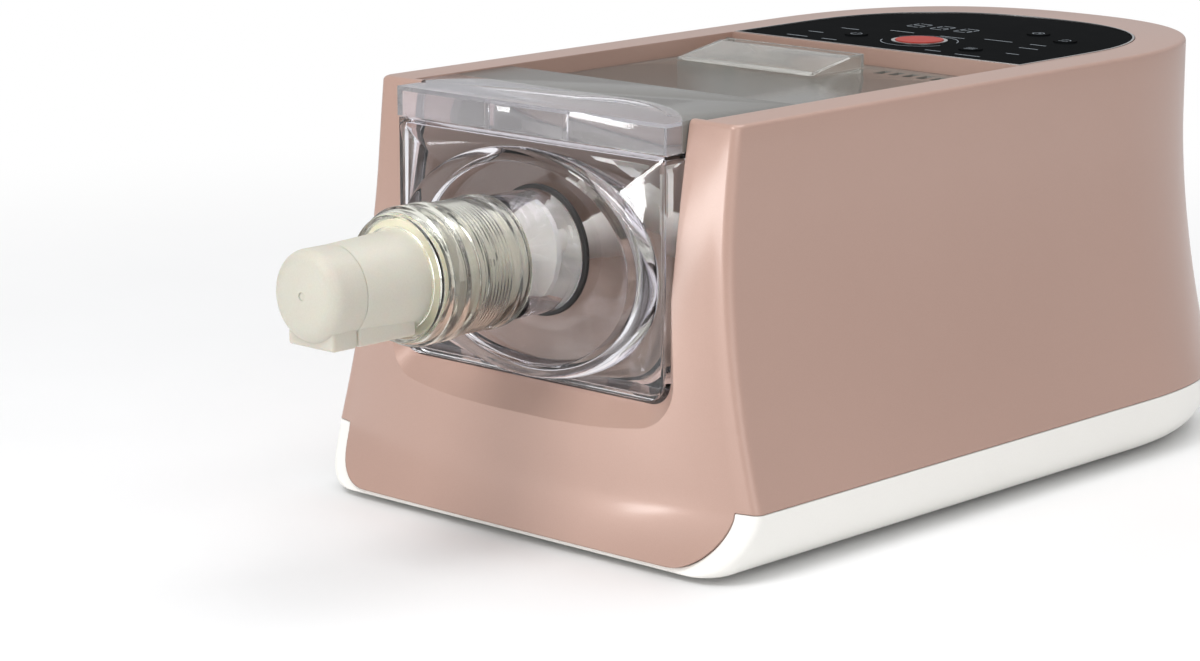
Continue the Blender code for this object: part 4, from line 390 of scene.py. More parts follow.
# Housing shell
# The housing is one flared ABS moulding, sprayed with a rose pearl lacquer that holds a very
# fine metal flake, then clear coated. Its front panel runs down over the base as a tongue. The
# walls of its window's throat carry painted shade in dark brown, for the dark gap by the cover.
TOP_WALL = 0.0050
TOP_BEVEL = 0.0022
WINDOW_HALF = 0.0885
WINDOW_SILL = 0.0764
WINDOW_CORNER = 0.0120
WINDOW_BAND = 0.0140
BAND_FRONT = 0.0300
BAND_BACK = 0.0035
TROUGH_HALF = 0.0955
TROUGH_REAR = 0.2418
TROUGH_FLOOR = 0.1340
DISH_FLOOR = 0.0125
DISH_SPREAD = 0.0310
DISH_REACH = 0.0235
LIP_WALL = 0.0030
PANEL_LEDGE = 0.0060
PANEL_RECESS = 0.0026
PANEL_REACH = 0.1065
PANEL_SETBACK = 0.0010
BOARD_THICKNESS = 0.0016
BOARD_POST_X = 0.0930
BOARD_POST_Y = (0.2580, 0.3000)
PIN_RADIUS = 0.0020
PIN_POINTS = 20
REAR_CUT = (0.3926, 0.4806)
VENTS = 9
VENT_START = 0.1000
VENT_PITCH = 0.0070
VENT_HEIGHT = 0.0030
VENT_HALF = 0.0440
VENT_TAPER = 0.0021
SOCKET_HALF = 0.0153
SOCKET_LOW = 0.0512
SOCKET_HIGH = 0.0728
THROAT_MARGIN = 0.0010
THROAT_FACING = 0.2
FLARE_POINTS = 18
TOP_POINTS = 4
RIM_POINTS = 6


def block(x0, x1, y0, y1, z0, z1):
    """A square-edged block in the machine's own measures, from its front face backwards."""
    low, high = min(x0, x1), max(x0, x1)
    corners = ((low, y0), (high, y0), (high, y1), (low, y1))
    return rolled("block", [[Vector((x, y + front_y, z)) for x, y in corners] for z in (z0, z1)],
                  closed=False)


def shell_loops(low, high, inset=0.0, rim=0.0):
    """The housing's outlines from the tongue's foot up to the rounded top rim."""
    heights = toe_heights + [SEAM + (FLARE_TOP - SEAM) * step / FLARE_POINTS
                             for step in range(1, FLARE_POINTS + 1)]
    heights += [FLARE_TOP + (high - rim - FLARE_TOP) * step / TOP_POINTS
                for step in range(1, TOP_POINTS)]
    loops = [body_loop(z, inset) for z in [low] + [z for z in heights if z > low + GAP]]
    for angle in quarter(RIM_POINTS)[:-1] if rim else ():
        loops.append(body_loop(high - rim + rim * math.sin(angle),
                               inset + rim * (1 - math.cos(angle))))
    loops.append(body_loop(high, inset + rim))
    return loops


def panel_edge(inset, low, high):
    """The control panel's outline, square in front and round behind, between two heights."""
    half, front = TROUGH_HALF - inset, TROUGH_REAR + PANEL_SETBACK + inset
    outline = [(-half, front), (half, front), *rear_curve(half, PANEL_REACH - inset)]
    return rolled("panel_edge", [[Vector((x, y + front_y, z)) for x, y in outline]
                                 for z in (low, high)], closed=False)


mid_top = SHELL_HEIGHT - TOP_WALL / 2
open_top = SHELL_HEIGHT + OVERRUN
lip_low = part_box("lid")[0].z
shell = rolled("housing_shell_moulding", shell_loops(TONGUE_BOTTOM, SHELL_HEIGHT, rim=TOP_BEVEL),
               closed=False)
hollow = rolled("hollow", shell_loops(-OVERRUN, SHELL_HEIGHT - TOP_WALL, SHELL_WALL), closed=False)
below = block(-far_side, far_side, -far_side, SHELL_LENGTH + far_side, -OVERRUN, SEAM)
tongue = rolled("tongue", [round_footed(TONGUE_HALF, TONGUE_BOTTOM, SEAM + OVERRUN, tongue_round, y)
                           for y in (-far_side - OVERRUN, CORNER_FILLET)], closed=False)
below = shaped(below, cuts=[tongue])
shell = shaped(shell, cuts=[hollow, below])
band = rolled("band", [round_footed(WINDOW_HALF + WINDOW_BAND, WINDOW_SILL - WINDOW_BAND, mid_top,
                                    WINDOW_CORNER + WINDOW_BAND, y)
                       for y in (-BAND_FRONT, BAND_BACK)], closed=False)
within = rolled("within", shell_loops(TONGUE_BOTTOM, SHELL_HEIGHT, 3 * GAP), closed=False)
joins = [shaped(band, keeps=[within])]
for side in (-1, 1):
    joins.append(block(side * (TROUGH_HALF - LIP_WALL / 2), side * (TROUGH_HALF + LIP_WALL),
                       BAND_BACK / 2, TROUGH_REAR + LIP_WALL, lip_low, mid_top))
joins.append(block(-TROUGH_HALF - LIP_WALL / 2, TROUGH_HALF + LIP_WALL / 2, TROUGH_REAR - LIP_WALL,
                   TROUGH_REAR + LIP_WALL - GAP, lip_low + GAP, mid_top + GAP))
joins += posts(BOSS_RADIUS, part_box("control_board")[0].z + BOARD_THICKNESS + GAP,
               SHELL_HEIGHT - TOP_WALL + GAP, (-BOARD_POST_X, BOARD_POST_X), BOARD_POST_Y)
shell = shaped(shell, joins=joins)
window = rolled("window", [round_footed(WINDOW_HALF + grow, WINDOW_SILL - grow, open_top,
                                        WINDOW_CORNER + grow, depth)
                           for depth, grow in ((BAND_BACK + TOP_BEVEL, 0), (-DISH_FLOOR, 0),
                                               (-DISH_FLOOR - DISH_REACH, DISH_SPREAD))],
                closed=False)
cuts = [block(-TROUGH_HALF, TROUGH_HALF, BAND_BACK + GAP, TROUGH_REAR, TROUGH_FLOOR, open_top),
        window, panel_edge(0, SHELL_HEIGHT - PANEL_RECESS, open_top),
        panel_edge(PANEL_LEDGE, SHELL_HEIGHT - TOP_WALL - GAP, open_top)]
hinge_low, hinge_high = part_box("hinge_pin_left")
hinge_y, hinge_z = (hinge_low.y + hinge_high.y) / 2, (hinge_low.z + hinge_high.z) / 2
pin_end = TROUGH_HALF + LIP_WALL + GAP
cuts.append(rolled("pin_hole", [[Vector((x, hinge_y + PIN_RADIUS * math.cos(angle),
                                         hinge_z + PIN_RADIUS * math.sin(angle)))
                                 for angle in circle(PIN_POINTS)] for x in (-pin_end, pin_end)],
                   closed=False))
for vent in range(VENTS):
    vent_low = VENT_START + VENT_PITCH * vent
    vent_half = VENT_HALF - VENT_TAPER * abs(vent - VENTS // 2)
    cuts.append(block(-vent_half, vent_half, *REAR_CUT, vent_low, vent_low + VENT_HEIGHT))
cuts.append(block(-SOCKET_HALF, SOCKET_HALF, *REAR_CUT, SOCKET_LOW, SOCKET_HIGH))
shell = shaped(shell, cuts=cuts)
rose = soft_edges(moulded("rose_lacquer", (0.480, 0.312, 0.255), (0.450, 0.290, 0.234), 0.36,
                          cloud=5.0, grain=2200.0, bump=0.03, Metallic=0.14, Coat_Weight=0.35,
                          Coat_Roughness=0.16), radius=0.0010)
stand_in(shell, "housing_shell", rose, crease=22)

# Painted shade: the throat walls beside the clear cover get this dark brown so that the gap there
# looks shadowed.
throat_painted_shade = moulded("throat_painted_shade", (0.065, 0.045, 0.036), (0.050, 0.034, 0.027), 0.5)
shell.data.materials.append(throat_painted_shade)
for face in shell.data.polygons:
    x, y, z = face.center
    inward = abs(face.normal.y) < THROAT_FACING and abs(x) < WINDOW_HALF + THROAT_MARGIN
    beside = WINDOW_SILL - THROAT_MARGIN < z < lip_low
    behind = -DISH_FLOOR - THROAT_MARGIN / 2 < y - front_y < BAND_BACK + TOP_BEVEL
    if inward and beside and behind:
        face.material_index = 1

# Control panel
# The panel is a sheet of back-painted black glass in a thin silvered frame. It has a red start
# button in a bright ring, four touch keys and fine grey marks printed on the glass.
PRINT_RISE = 0.00006
LINE = 0.00045
UPRIGHT = 1.57
ARC_POINTS = 20
GUIDE_RING = 0.0205
GUIDE_SWEEP = 140
GUIDE_WIDTH = 0.0009
DIGITS = 3
DIGIT_INSET = 0.0100
DIGIT_PITCH = 0.0160
DIGIT_WIDTH = 0.0090
DIGIT_LINE = 0.0007
DIGIT_BAR = 0.0074
DIGIT_BAR_ROWS = (0.0062, 0.0125, 0.0188)
DIGIT_SIDE = 0.0048
DIGIT_SIDE_ROWS = (0.0094, 0.0157)
GUIDE_DASHES = ((-0.062, 0.012, 0.014), (-0.040, 0.012, 0.010), (0.052, 0.012, 0.016),
                (0.028, 0.014, 0.010), (-0.064, 0.030, 0.010), (0.066, 0.032, 0.008),
                (-0.058, 0.052, 0.012), (0.060, 0.054, 0.012), (0.030, 0.068, 0.018),
                (0.056, 0.068, 0.010), (0.004, 0.062, 0.016), (-0.030, 0.062, 0.016))
KEY_ARCS = {
    "power_key": ((0, 0, 0.0030, -235, 55),),
    "program_key": (),
    "time_key": ((0, 0, 0.0031, 0, 178), (0, 0, 0.0031, 182, 358)),
    "weight_key": ((0, 0.0006, 0.0026, 0, 180),),
}
KEY_DASHES = {
    "power_key": ((0, 0.0025, 0.0030, UPRIGHT),),
    "program_key": ((0, -0.0020, 0.0060, 0), (0, 0, 0.0060, 0), (0, 0.0020, 0.0060, 0)),
    "time_key": ((0.0008, 0, 0.0016, 0), (0, 0.0010, 0.0020, UPRIGHT)),
    "weight_key": ((0, -0.0020, 0.0060, 0),),
}
silver = moulded("silvered_trim", (0.74, 0.73, 0.72), (0.66, 0.65, 0.64), 0.24, Metallic=1.0)
dress(silver, "panel_trim", "start_button_ring")
black_glass = moulded("black_glass", (0.0065, 0.0070, 0.0075), (0.0050, 0.0055, 0.0060), 0.10,
                      grain=90.0, bump=0.005, IOR=1.005)
dress(black_glass, "control_glass", "power_key", "program_key", "time_key", "weight_key")
start_red = moulded("start_red", (0.42, 0.050, 0.038), (0.36, 0.042, 0.032), 0.35, grain=700.0,
                    IOR=1.1)
dress(start_red, "start_button")
mark_grey = moulded("printed_grey", (0.27, 0.30, 0.33), (0.21, 0.24, 0.265), 0.5)


def printed(name, body, loops, height):
    """Marks printed on the glass, each a closed outline of a thin raised film of ink."""
    ink = bmesh.new()
    for loop in loops:
        lower = [ink.verts.new((x, y, height)) for x, y in loop]
        upper = [ink.verts.new((x, y, height + PRINT_RISE)) for x, y in loop]
        ink.faces.new(upper)
        ink.faces.new(lower[::-1])
        for step in range(len(loop)):
            after = (step + 1) % len(loop)
            ink.faces.new((lower[step], lower[after], upper[after], upper[step]))
    bmesh.ops.recalc_face_normals(ink, faces=ink.faces)
    marks = placed(name, ink)
    marks.data.materials.append(mark_grey)
    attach(marks, body)


def dash(x, y, length, width=LINE, turn=0.0):
    """A straight mark with square ends, centred on one place."""
    across = Vector((math.cos(turn), math.sin(turn))) * length / 2
    up = Vector((-math.sin(turn), math.cos(turn))) * width / 2
    middle = Vector((x, y))
    return [tuple(middle + side * across + rise * up)
            for side, rise in ((-1, -1), (1, -1), (1, 1), (-1, 1))]


def arc(x, y, radius, start, end, steps=ARC_POINTS):
    """A curved mark of one width, between two angles in degrees."""
    outline = []
    for line, order in ((radius + LINE / 2, 1), (radius - LINE / 2, -1)):
        turns = [math.radians(start + (end - start) * step / steps) for step in range(steps + 1)]
        outline += [(x + line * math.cos(turn), y + line * math.sin(turn))
                    for turn in turns[::order]]
    return outline


for name in KEY_ARCS:
    key_low, key_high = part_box(name)
    centre = (key_low + key_high) / 2
    strokes = [arc(centre.x + x, centre.y + y, radius, start, end)
               for x, y, radius, start, end in KEY_ARCS[name]]
    strokes += [dash(centre.x + x, centre.y + y, length, turn=turn)
                for x, y, length, turn in KEY_DASHES[name]]
    printed(name + "_mark", body_of[name], strokes, key_high.z)
glass_low, glass_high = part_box("control_glass")
display_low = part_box("display_module")[0]
digits = []
for column in range(DIGITS):
    left = display_low.x + DIGIT_INSET + DIGIT_PITCH * column
    digits += [dash(left + DIGIT_WIDTH / 2, display_low.y + rise, DIGIT_BAR, DIGIT_LINE)
               for rise in DIGIT_BAR_ROWS]
    digits += [dash(left + side, display_low.y + rise, DIGIT_SIDE, DIGIT_LINE, UPRIGHT)
               for side in (0, DIGIT_WIDTH) for rise in DIGIT_SIDE_ROWS]
printed("display_digits", "machine", digits, glass_high.z)
start_low, start_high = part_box("start_button_ring")
start_x, start_y = (start_low.x + start_high.x) / 2, (start_low.y + start_high.y) / 2
guides = [arc(start_x, start_y, GUIDE_RING, start, start + GUIDE_SWEEP, 2 * ARC_POINTS)
          for start in (200, 20)]
guides += [dash(x, glass_low.y + y, length, GUIDE_WIDTH) for x, y, length in GUIDE_DASHES]
printed("panel_guides", "machine", guides, glass_high.z)

# Mixing chamber, its seal, the auger and the paddle
# The tub is moulded in clear copolyester, so light passes right through it. A rubber lip seals
# its back wall. The auger and the paddle are milky nylon mouldings, satin from tumbling.


def clear(material):
    """Let the lamps through a clear plastic, as real light gets into what it encloses."""
    tree = material.node_tree
    shadow = add(tree, "LightPath").outputs["Is Shadow Ray"]
    through = add(tree, "BsdfTransparent", Color=(0.90, 0.90, 0.90, 1)).outputs["BSDF"]
    plastic = tree.nodes["Principled BSDF"].outputs["BSDF"]
    either = add(tree, "MixShader", shadow, plastic, through)
    feed(tree, tree.nodes["Material Output"], Surface=either.outputs["Shader"])
    return material


tub_clear = clear(moulded("tub_clear", (0.95, 0.95, 0.94), (0.93, 0.93, 0.92), 0.07, bump=0.02,
                          Transmission_Weight=1.0, IOR=1.35))
dress(tub_clear, "mixing_chamber")
seal_rubber = moulded("seal_rubber", (0.022, 0.020, 0.019), (0.015, 0.014, 0.013), 0.55, bump=0.1)
dress(seal_rubber, "chamber_seal")
nylon = moulded("satin_nylon", (0.70, 0.68, 0.63), (0.65, 0.63, 0.58), 0.42, bump=0.05,
                Subsurface_Weight=0.1)
dress(nylon, "auger", "mixing_paddle")

# Front cover
# The cover is a clear polycarbonate tray, slightly lilac in its thickness. It has a raised oval
# rim round a dished middle, where the barrel sits in a round hole. Its edges are polished.
COVER_STEPS = 240
COVER_WALL = 0.0025
COVER_CORNER = 0.0110
PLATE_FRONT = 0.0045
OVAL_SINK = 0.0048
OVAL_MARGIN = 0.0027
OVAL_TOP_MARGIN = 0.0056
OVAL_RIM = 0.0165
OVAL_RIM_RISE = 0.0065
OVAL_ROUND = 0.0040
CUP_DEPTH = 0.0145
BARREL_HOLE = 0.0282
POLISH = 0.0007
TINY = 1e-9
POLISH_POINTS = 3
OVAL_POINTS = 7
cover_low, cover_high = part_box("front_cover")
gasket_low, gasket_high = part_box("barrel_gasket")
axis_height = (gasket_low.z + gasket_high.z) / 2
oval_height = axis_height - OVAL_SINK
oval_half = cover_high.x - OVAL_MARGIN
oval_rise = cover_high.z - OVAL_TOP_MARGIN - oval_height
turns = circle(COVER_STEPS)
for side in (-1, 1):
    corner = math.atan2(cover_high.z - oval_height, side * cover_high.x) % (2 * math.pi)
    nearest = min(range(COVER_STEPS), key=lambda step: abs(turns[step] - corner))
    turns[nearest] = corner


def tray_loop(inset, y, bend):
    """The cover's square outline at one depth, its two lower corners rounded."""
    loop = []
    half, low, high = cover_high.x - inset, cover_low.z + inset, cover_high.z - inset
    for turn in turns:
        across, up = math.cos(turn), math.sin(turn)
        reach = half / abs(across) if abs(across) > TINY else 1 / TINY
        if abs(up) > TINY:
            reach = min(reach, ((high if up > 0 else low) - oval_height) / up)
        x, z = reach * across, oval_height + reach * up
        if abs(x) > half - bend and z < low + bend:
            centre = Vector((math.copysign(half - bend, x), low + bend - oval_height))
            along = Vector((across, up)).dot(centre)
            left = bend ** 2 - centre.length_squared + along ** 2
            reach = along + math.sqrt(max(left, 0))
            x, z = reach * across, oval_height + reach * up
        loop.append(Vector((x, y, z)))
    return loop


def oval_loops(half, rise, steps):
    """Ovals one behind another, each grown by so much at so deep a place."""
    loops = []
    for grow, y in steps:
        loop = []
        for turn in turns:
            reach = 1 / math.hypot(math.cos(turn) / (half + grow), math.sin(turn) / (rise + grow))
            loop.append(Vector((reach * math.cos(turn), y, oval_height + reach * math.sin(turn))))
        loops.append(loop)
    return loops


def hole_loop(radius, y):
    return [Vector((radius * math.cos(turn), y, axis_height + radius * math.sin(turn)))
            for turn in turns]


rim_front, tray_back = cover_low.y, cover_high.y
plate_front = rim_front + PLATE_FRONT
plate_back = plate_front + COVER_WALL
cup_floor = rim_front + CUP_DEPTH
cup_back = cup_floor + COVER_WALL
inner_half, inner_rise = oval_half - OVAL_RIM, oval_rise - OVAL_RIM_RISE
inner_corner = COVER_CORNER - COVER_WALL
loops = [tray_loop(0, tray_back - POLISH / 2, COVER_CORNER)]
for angle in quarter(POLISH_POINTS):
    inset = POLISH * (1 - math.cos(angle))
    loops.append(tray_loop(inset, plate_front + POLISH * (1 - math.sin(angle)), COVER_CORNER - inset))
loops += oval_loops(oval_half, oval_rise, [
    (POLISH, plate_front), (POLISH / 4, plate_front - POLISH / 4), (0, plate_front - POLISH)])
loops += oval_loops(oval_half, oval_rise, [
    (-OVAL_ROUND * (1 - math.cos(angle)), rim_front + (PLATE_FRONT - POLISH) * (1 - math.sin(angle)))
    for angle in quarter(OVAL_POINTS)[1:]])
loops += oval_loops(inner_half, inner_rise, [
    (POLISH * (1 - math.sin(angle)), rim_front + POLISH * (1 - math.cos(angle)))
    for angle in quarter(POLISH_POINTS)])
loops += oval_loops(inner_half, inner_rise, [
    (0, cup_floor - 2 * POLISH), (-POLISH / 2, cup_floor - POLISH / 2), (-2 * POLISH, cup_floor)])
loops += [hole_loop(BARREL_HOLE + POLISH, cup_floor), hole_loop(BARREL_HOLE, cup_floor + POLISH / 2),
          hole_loop(BARREL_HOLE, cup_back)]
loops += oval_loops(inner_half, inner_rise, [
    (COVER_WALL - POLISH, cup_back), (COVER_WALL, cup_back - POLISH),
    (COVER_WALL, plate_back + POLISH), (COVER_WALL + POLISH, plate_back)])
loops += [tray_loop(inset, y, bend) for inset, y, bend in (
    (COVER_WALL + POLISH, plate_back, inner_corner), (COVER_WALL, plate_back + POLISH, inner_corner),
    (COVER_WALL, tray_back - POLISH / 2, inner_corner),
    (COVER_WALL - POLISH / 2, tray_back, inner_corner + POLISH / 2),
    (POLISH / 2, tray_back, COVER_CORNER - POLISH / 2))]
lilac_clear = clear(moulded("lilac_clear", (0.93, 0.915, 0.95), (0.90, 0.885, 0.92), 0.035,
                            bump=0.02, Transmission_Weight=1.0, IOR=1.49))
stand_in(rolled("clear_front_cover", loops), "front_cover", lilac_clear, crease=50)

# Extrusion barrel and its gasket
# The barrel is moulded in the cover's own clear polycarbonate and sits in its round hole. It has
# a coarse thread for the nut, a stepped boss behind, and a black rubber ring under the boss.
ROUND = 144
BARREL_BORE = 0.0243
BARREL_SHOULDER = 0.0500
BARREL_EASE = 0.0005
BOSS = 0.0300
BOSS_BACK = 0.0856
BORE_SPREAD = 0.0018
BORE_CONE = 0.0028
THREAD_PITCH = 0.0070
THREAD_TURNS = 4
THREAD_STEPS = 64
THREAD_FADE = 10
THREAD_ROOT = 0.0270
THREAD_TOP = 0.0282
THREAD_SINK = 0.0002
THREAD_EDGES = (-0.0001, 0.0006, 0.0020, 0.0027)
GASKET_SLIM = 0.0020
GASKET_EASE = 0.0008
CORNER_SHARE = 0.42


def rounded_corners(profile, ease, steps=3):
    """A turned profile of (radius, depth) with each of its corners eased."""
    eased = []
    for place, (radius, depth) in enumerate(profile):
        corner = Vector((radius, depth))
        before = Vector(profile[place - 1]) - corner
        after = Vector(profile[(place + 1) % len(profile)]) - corner
        reach = min(ease, before.length * CORNER_SHARE, after.length * CORNER_SHARE)
        first, last = corner + before.normalized() * reach, corner + after.normalized() * reach
        for step in range(steps + 1):
            share = step / steps
            point = (first * (1 - share) ** 2 + corner * 2 * share * (1 - share)
                     + last * share ** 2)
            eased.append((point.x, point.y))
    return eased


def ring(radius, depth, x=0.0, rise=0.0, steps=ROUND):
    """A circle about the barrel's axis, or about a line beside it, at one depth."""
    return [Vector((x + radius * math.cos(angle), depth,
                    axis_height + rise + radius * math.sin(angle))) for angle in circle(steps)]


def turned(name, profile):
    """A closed profile of (radius, depth) turned about the barrel's axis."""
    return rolled(name, [ring(radius, depth) for radius, depth in profile])


barrel_low, barrel_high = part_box("extrusion_barrel")
shoulder = barrel_low.y + BARREL_SHOULDER
boss_back = barrel_low.y + BOSS_BACK
barrel = turned("clear_barrel", rounded_corners([
    (BARREL_BORE, barrel_low.y), (THREAD_ROOT, barrel_low.y), (THREAD_ROOT, shoulder),
    (BOSS, shoulder), (BOSS, boss_back), (BARREL_HOLE - GAP, boss_back),
    (BARREL_HOLE - GAP, barrel_high.y), (BARREL_BORE + BORE_SPREAD, barrel_high.y),
    (BARREL_BORE, boss_back - BORE_CONE)], BARREL_EASE))
thread_loops = []
thread_foot = THREAD_ROOT - 2 * THREAD_SINK
for step in range(THREAD_TURNS * THREAD_STEPS + 1):
    angle = 2 * math.pi * step / THREAD_STEPS
    fade = min(1, step / THREAD_FADE, (THREAD_TURNS * THREAD_STEPS - step) / THREAD_FADE)
    start = barrel_low.y + THREAD_PITCH / 2 + THREAD_PITCH * (THREAD_TURNS - step / THREAD_STEPS)
    crest = THREAD_ROOT - THREAD_SINK + (THREAD_TOP - THREAD_ROOT + THREAD_SINK / 2) * fade
    thread_loops.append([Vector((radius * math.cos(angle), start + shift,
                                 axis_height + radius * math.sin(angle)))
                         for radius, shift in zip((thread_foot, crest, crest, thread_foot),
                                                  THREAD_EDGES)])
barrel = shaped(barrel, joins=[rolled("barrel_thread", thread_loops, closed=False)])
stand_in(barrel, "extrusion_barrel", lilac_clear, crease=35)
gasket_radius = (gasket_high.x - gasket_low.x) / 2 - GASKET_SLIM
gasket = turned("rubber_gasket", rounded_corners([
    (BARREL_HOLE, gasket_low.y), (gasket_radius, gasket_low.y),
    (gasket_radius, gasket_high.y), (BARREL_HOLE, gasket_high.y)], GASKET_EASE))
stand_in(gasket, "barrel_gasket", seal_rubber)

# Barrel nut
# The nut is a thick clear ring, moulded in a greener grade than the cover. Two raised ridges,
# fine grip rings and a rolled back edge give the hand a grip. It screws on to the barrel.
NUT_BORE = 0.0286
NUT_OUTER = 0.0313
NUT_RIDGE = 0.0015
NUT_RIDGES = ((0.0068, 0.0074), (0.0172, 0.0080))
NUT_NOSE = 0.0016
NUT_LIP = 0.0042
NUT_HOLE = 0.0241
NUT_ROLL = 0.0060
NUT_ROLL_FOOT = 0.0015
NUT_EASE = 0.0006
GRIP_RINGS = 9
GRIP_START = 0.0272
GRIP_PITCH = 0.0021
GRIP_RISE = 0.00035
GRIP_SHARES = ((0.3, GRIP_RISE), (0.5, GRIP_RISE), (0.8, 0))
nut_low, nut_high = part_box("barrel_nut")
nut_front, nut_back = nut_low.y, nut_high.y
profile = [(NUT_HOLE, nut_front), (NUT_OUTER - NUT_NOSE, nut_front)]
for start, width in NUT_RIDGES:
    ridge = nut_front + start
    profile += [(NUT_OUTER, ridge - NUT_RIDGE), (NUT_OUTER + NUT_RIDGE, ridge),
                (NUT_OUTER + NUT_RIDGE, ridge + width - NUT_RIDGE), (NUT_OUTER, ridge + width)]
for grip in range(GRIP_RINGS):
    depth = nut_front + GRIP_START + GRIP_PITCH * grip
    profile.append((NUT_OUTER, depth))
    profile += [(NUT_OUTER + rise, depth + GRIP_PITCH * share) for share, rise in GRIP_SHARES]
profile += [(NUT_OUTER, nut_back - NUT_ROLL - NUT_ROLL_FOOT),
            (NUT_OUTER + NUT_RIDGE / 2, nut_back - NUT_ROLL), (NUT_OUTER + NUT_RIDGE / 2, nut_back),
            (NUT_BORE, nut_back), (NUT_BORE, nut_front + NUT_LIP), (NUT_HOLE, nut_front + NUT_LIP)]
green_clear = clear(moulded("green_clear", (0.90, 0.90, 0.82), (0.86, 0.87, 0.77), 0.045,
                            bump=0.03, Transmission_Weight=1.0, IOR=1.49))
stand_in(turned("clear_nut", rounded_corners(profile, NUT_EASE)), "barrel_nut", green_clear)

# Nozzle, its end cap and the shaping die
# The nozzle and its cap are moulded in milky polypropylene, waxy and slightly see-through at
# thin edges. The die is a plate of the same plastic that slides in under the nozzle.
NOZZLE_BORE = 0.0190
NOZZLE_TIP_RADIUS = 0.0215
NOZZLE_RADIUS = 0.0229
NOZZLE_FLANGE_RADIUS = 0.0274
NOZZLE_FLANGE = 0.0033
NOZZLE_EASE = 0.0003
CAP_ROUND = 0.0080
CAP_DOME = 0.0010
CAP_FACE = 0.0025
CAP_FLAT = 0.0030
CAP_POINTS = 12
SPIGOT_WALL = 0.0022
KEEL_SPACE = 0.0060
KEEL_HALF = 0.0150
KEEL_DROP = 0.0240
KEEL_EASE = 0.0016
KEEL_ROOT = 0.7
KEEL_CLEARANCE = 0.0010
DIE_LEDGE = 0.0022
DIE_END = 0.0030
DIMPLE_RADIUS = 0.0018
DIMPLE_DEPTH = 0.0005
DIMPLE_PLACE = (0.0010, 0.0008)
DIMPLE_POINTS = 40
tube_low, tube_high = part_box("nozzle_tube")
cap_low, cap_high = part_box("nozzle_end_cap")
die_low, die_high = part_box("shaping_die")


def cross_rod(radius, start, end, *place):
    """A plain round bar laid along the barrel's axis, or beside it."""
    return rolled("cross_rod", [ring(radius, depth, *place) for depth in (start, end)], closed=False)


def keel_block(half, start, end, low, high, ease=0.0):
    """A block in world places whose edges may be rounded off."""
    made = block(-half, half, start - front_y, end - front_y, low, high)
    if ease:
        rounding = made.modifiers.new("rounding", "BEVEL")
        rounding.width = ease
        rounding.segments = 4
    return made


milky = soft_edges(moulded("milky_plastic", (0.595, 0.568, 0.490), (0.555, 0.525, 0.448), 0.42,
                           bump=0.04, Subsurface_Weight=0.25, Subsurface_Scale=0.006),
                   radius=0.0008)
keel_low, keel_high = axis_height - KEEL_DROP, axis_height - NOZZLE_BORE * KEEL_ROOT
flange_front = tube_high.y - NOZZLE_FLANGE
tube = turned("nozzle_tube_moulding", rounded_corners([
    (NOZZLE_BORE, tube_low.y), (NOZZLE_TIP_RADIUS, tube_low.y), (NOZZLE_RADIUS, nut_front),
    (NOZZLE_RADIUS, flange_front), (NOZZLE_FLANGE_RADIUS, flange_front),
    (NOZZLE_FLANGE_RADIUS, tube_high.y), (NOZZLE_BORE, tube_high.y)], NOZZLE_EASE))
rail = keel_block(KEEL_HALF, tube_low.y, nut_front - KEEL_CLEARANCE, keel_low, keel_high, KEEL_EASE)
bore = cross_rod(NOZZLE_BORE, tube_low.y - OVERRUN, tube_high.y + OVERRUN)
groove = keel_block(die_high.x + GAP, tube_low.y - OVERRUN, die_high.y + GAP,
                    die_low.z - GAP, die_high.z + GAP)
die_window = keel_block(die_high.x - DIE_LEDGE, tube_low.y - OVERRUN, die_high.y - DIE_END,
                        keel_low - OVERRUN, axis_height - NOZZLE_BORE / 2)
tube = shaped(tube, joins=[rail], cuts=[bore, groove, die_window])
stand_in(tube, "nozzle_tube", milky, crease=30)

cap_back = tube_low.y - GAP
spigot = NOZZLE_BORE - GAP
outline = [(CAP_FLAT, cap_low.y)]
for angle in quarter(CAP_POINTS):
    outline.append((NOZZLE_TIP_RADIUS - CAP_ROUND * (1 - math.sin(angle)),
                    cap_low.y + CAP_DOME + (CAP_ROUND - CAP_DOME) * (1 - math.cos(angle))))
outline += [(NOZZLE_TIP_RADIUS, cap_back), (spigot, cap_back), (spigot, cap_high.y),
            (spigot - SPIGOT_WALL, cap_high.y), (spigot - SPIGOT_WALL, cap_low.y + CAP_FACE)]
cap = rolled("nozzle_end_cap_moulding", [ring(radius, depth) for radius, depth in outline],
             closed=False)
keel = keel_block(KEEL_HALF, cap_low.y + KEEL_SPACE, cap_back - GAP, keel_low, keel_high, KEEL_EASE)
keel = shaped(keel, cuts=[cross_rod(spigot - SPIGOT_WALL + GAP, cap_low.y + CAP_FACE - GAP,
                                    cap_high.y + OVERRUN)])
dimple = cross_rod(DIMPLE_RADIUS, cap_low.y - OVERRUN, cap_low.y + DIMPLE_DEPTH, *DIMPLE_PLACE,
                   DIMPLE_POINTS)
die_slot = keel_block(die_high.x + 2 * GAP, cap_back + GAP / 2, cap_high.y + OVERRUN,
                      keel_low - OVERRUN, die_high.z + 3 * GAP)
cap = shaped(cap, joins=[keel], cuts=[dimple, die_slot])
stand_in(cap, "nozzle_end_cap", milky, crease=30)
dress(milky, "shaping_die")

# Lid with its hinge pins and magnet
# The lid is moulded in smoked acrylic, with a taller clear nose over the front cover. Steel
# pins hold it at the back, and a small magnet in it trips the switch below.
LID_EASE = 0.0006
FLAT = 0.2
CRISP_MARGIN = 14.0
NOSE_BACK = 0.0300
NOSE_SPAN = 0.0015
NOSE_BEND_START = 0.0250
NOSE_BEND = 9.0
NOSE_TINT = (0.90, 0.885, 0.92)
NOSE_CLEARNESS = 0.90
NOSE_ROUGHNESS = 0.04
lid_smoke = clear(moulded("smoked_lid", (0.27, 0.262, 0.24), (0.24, 0.232, 0.21), 0.15,
                          bump=0.04, Transmission_Weight=0.45, IOR=1.45))


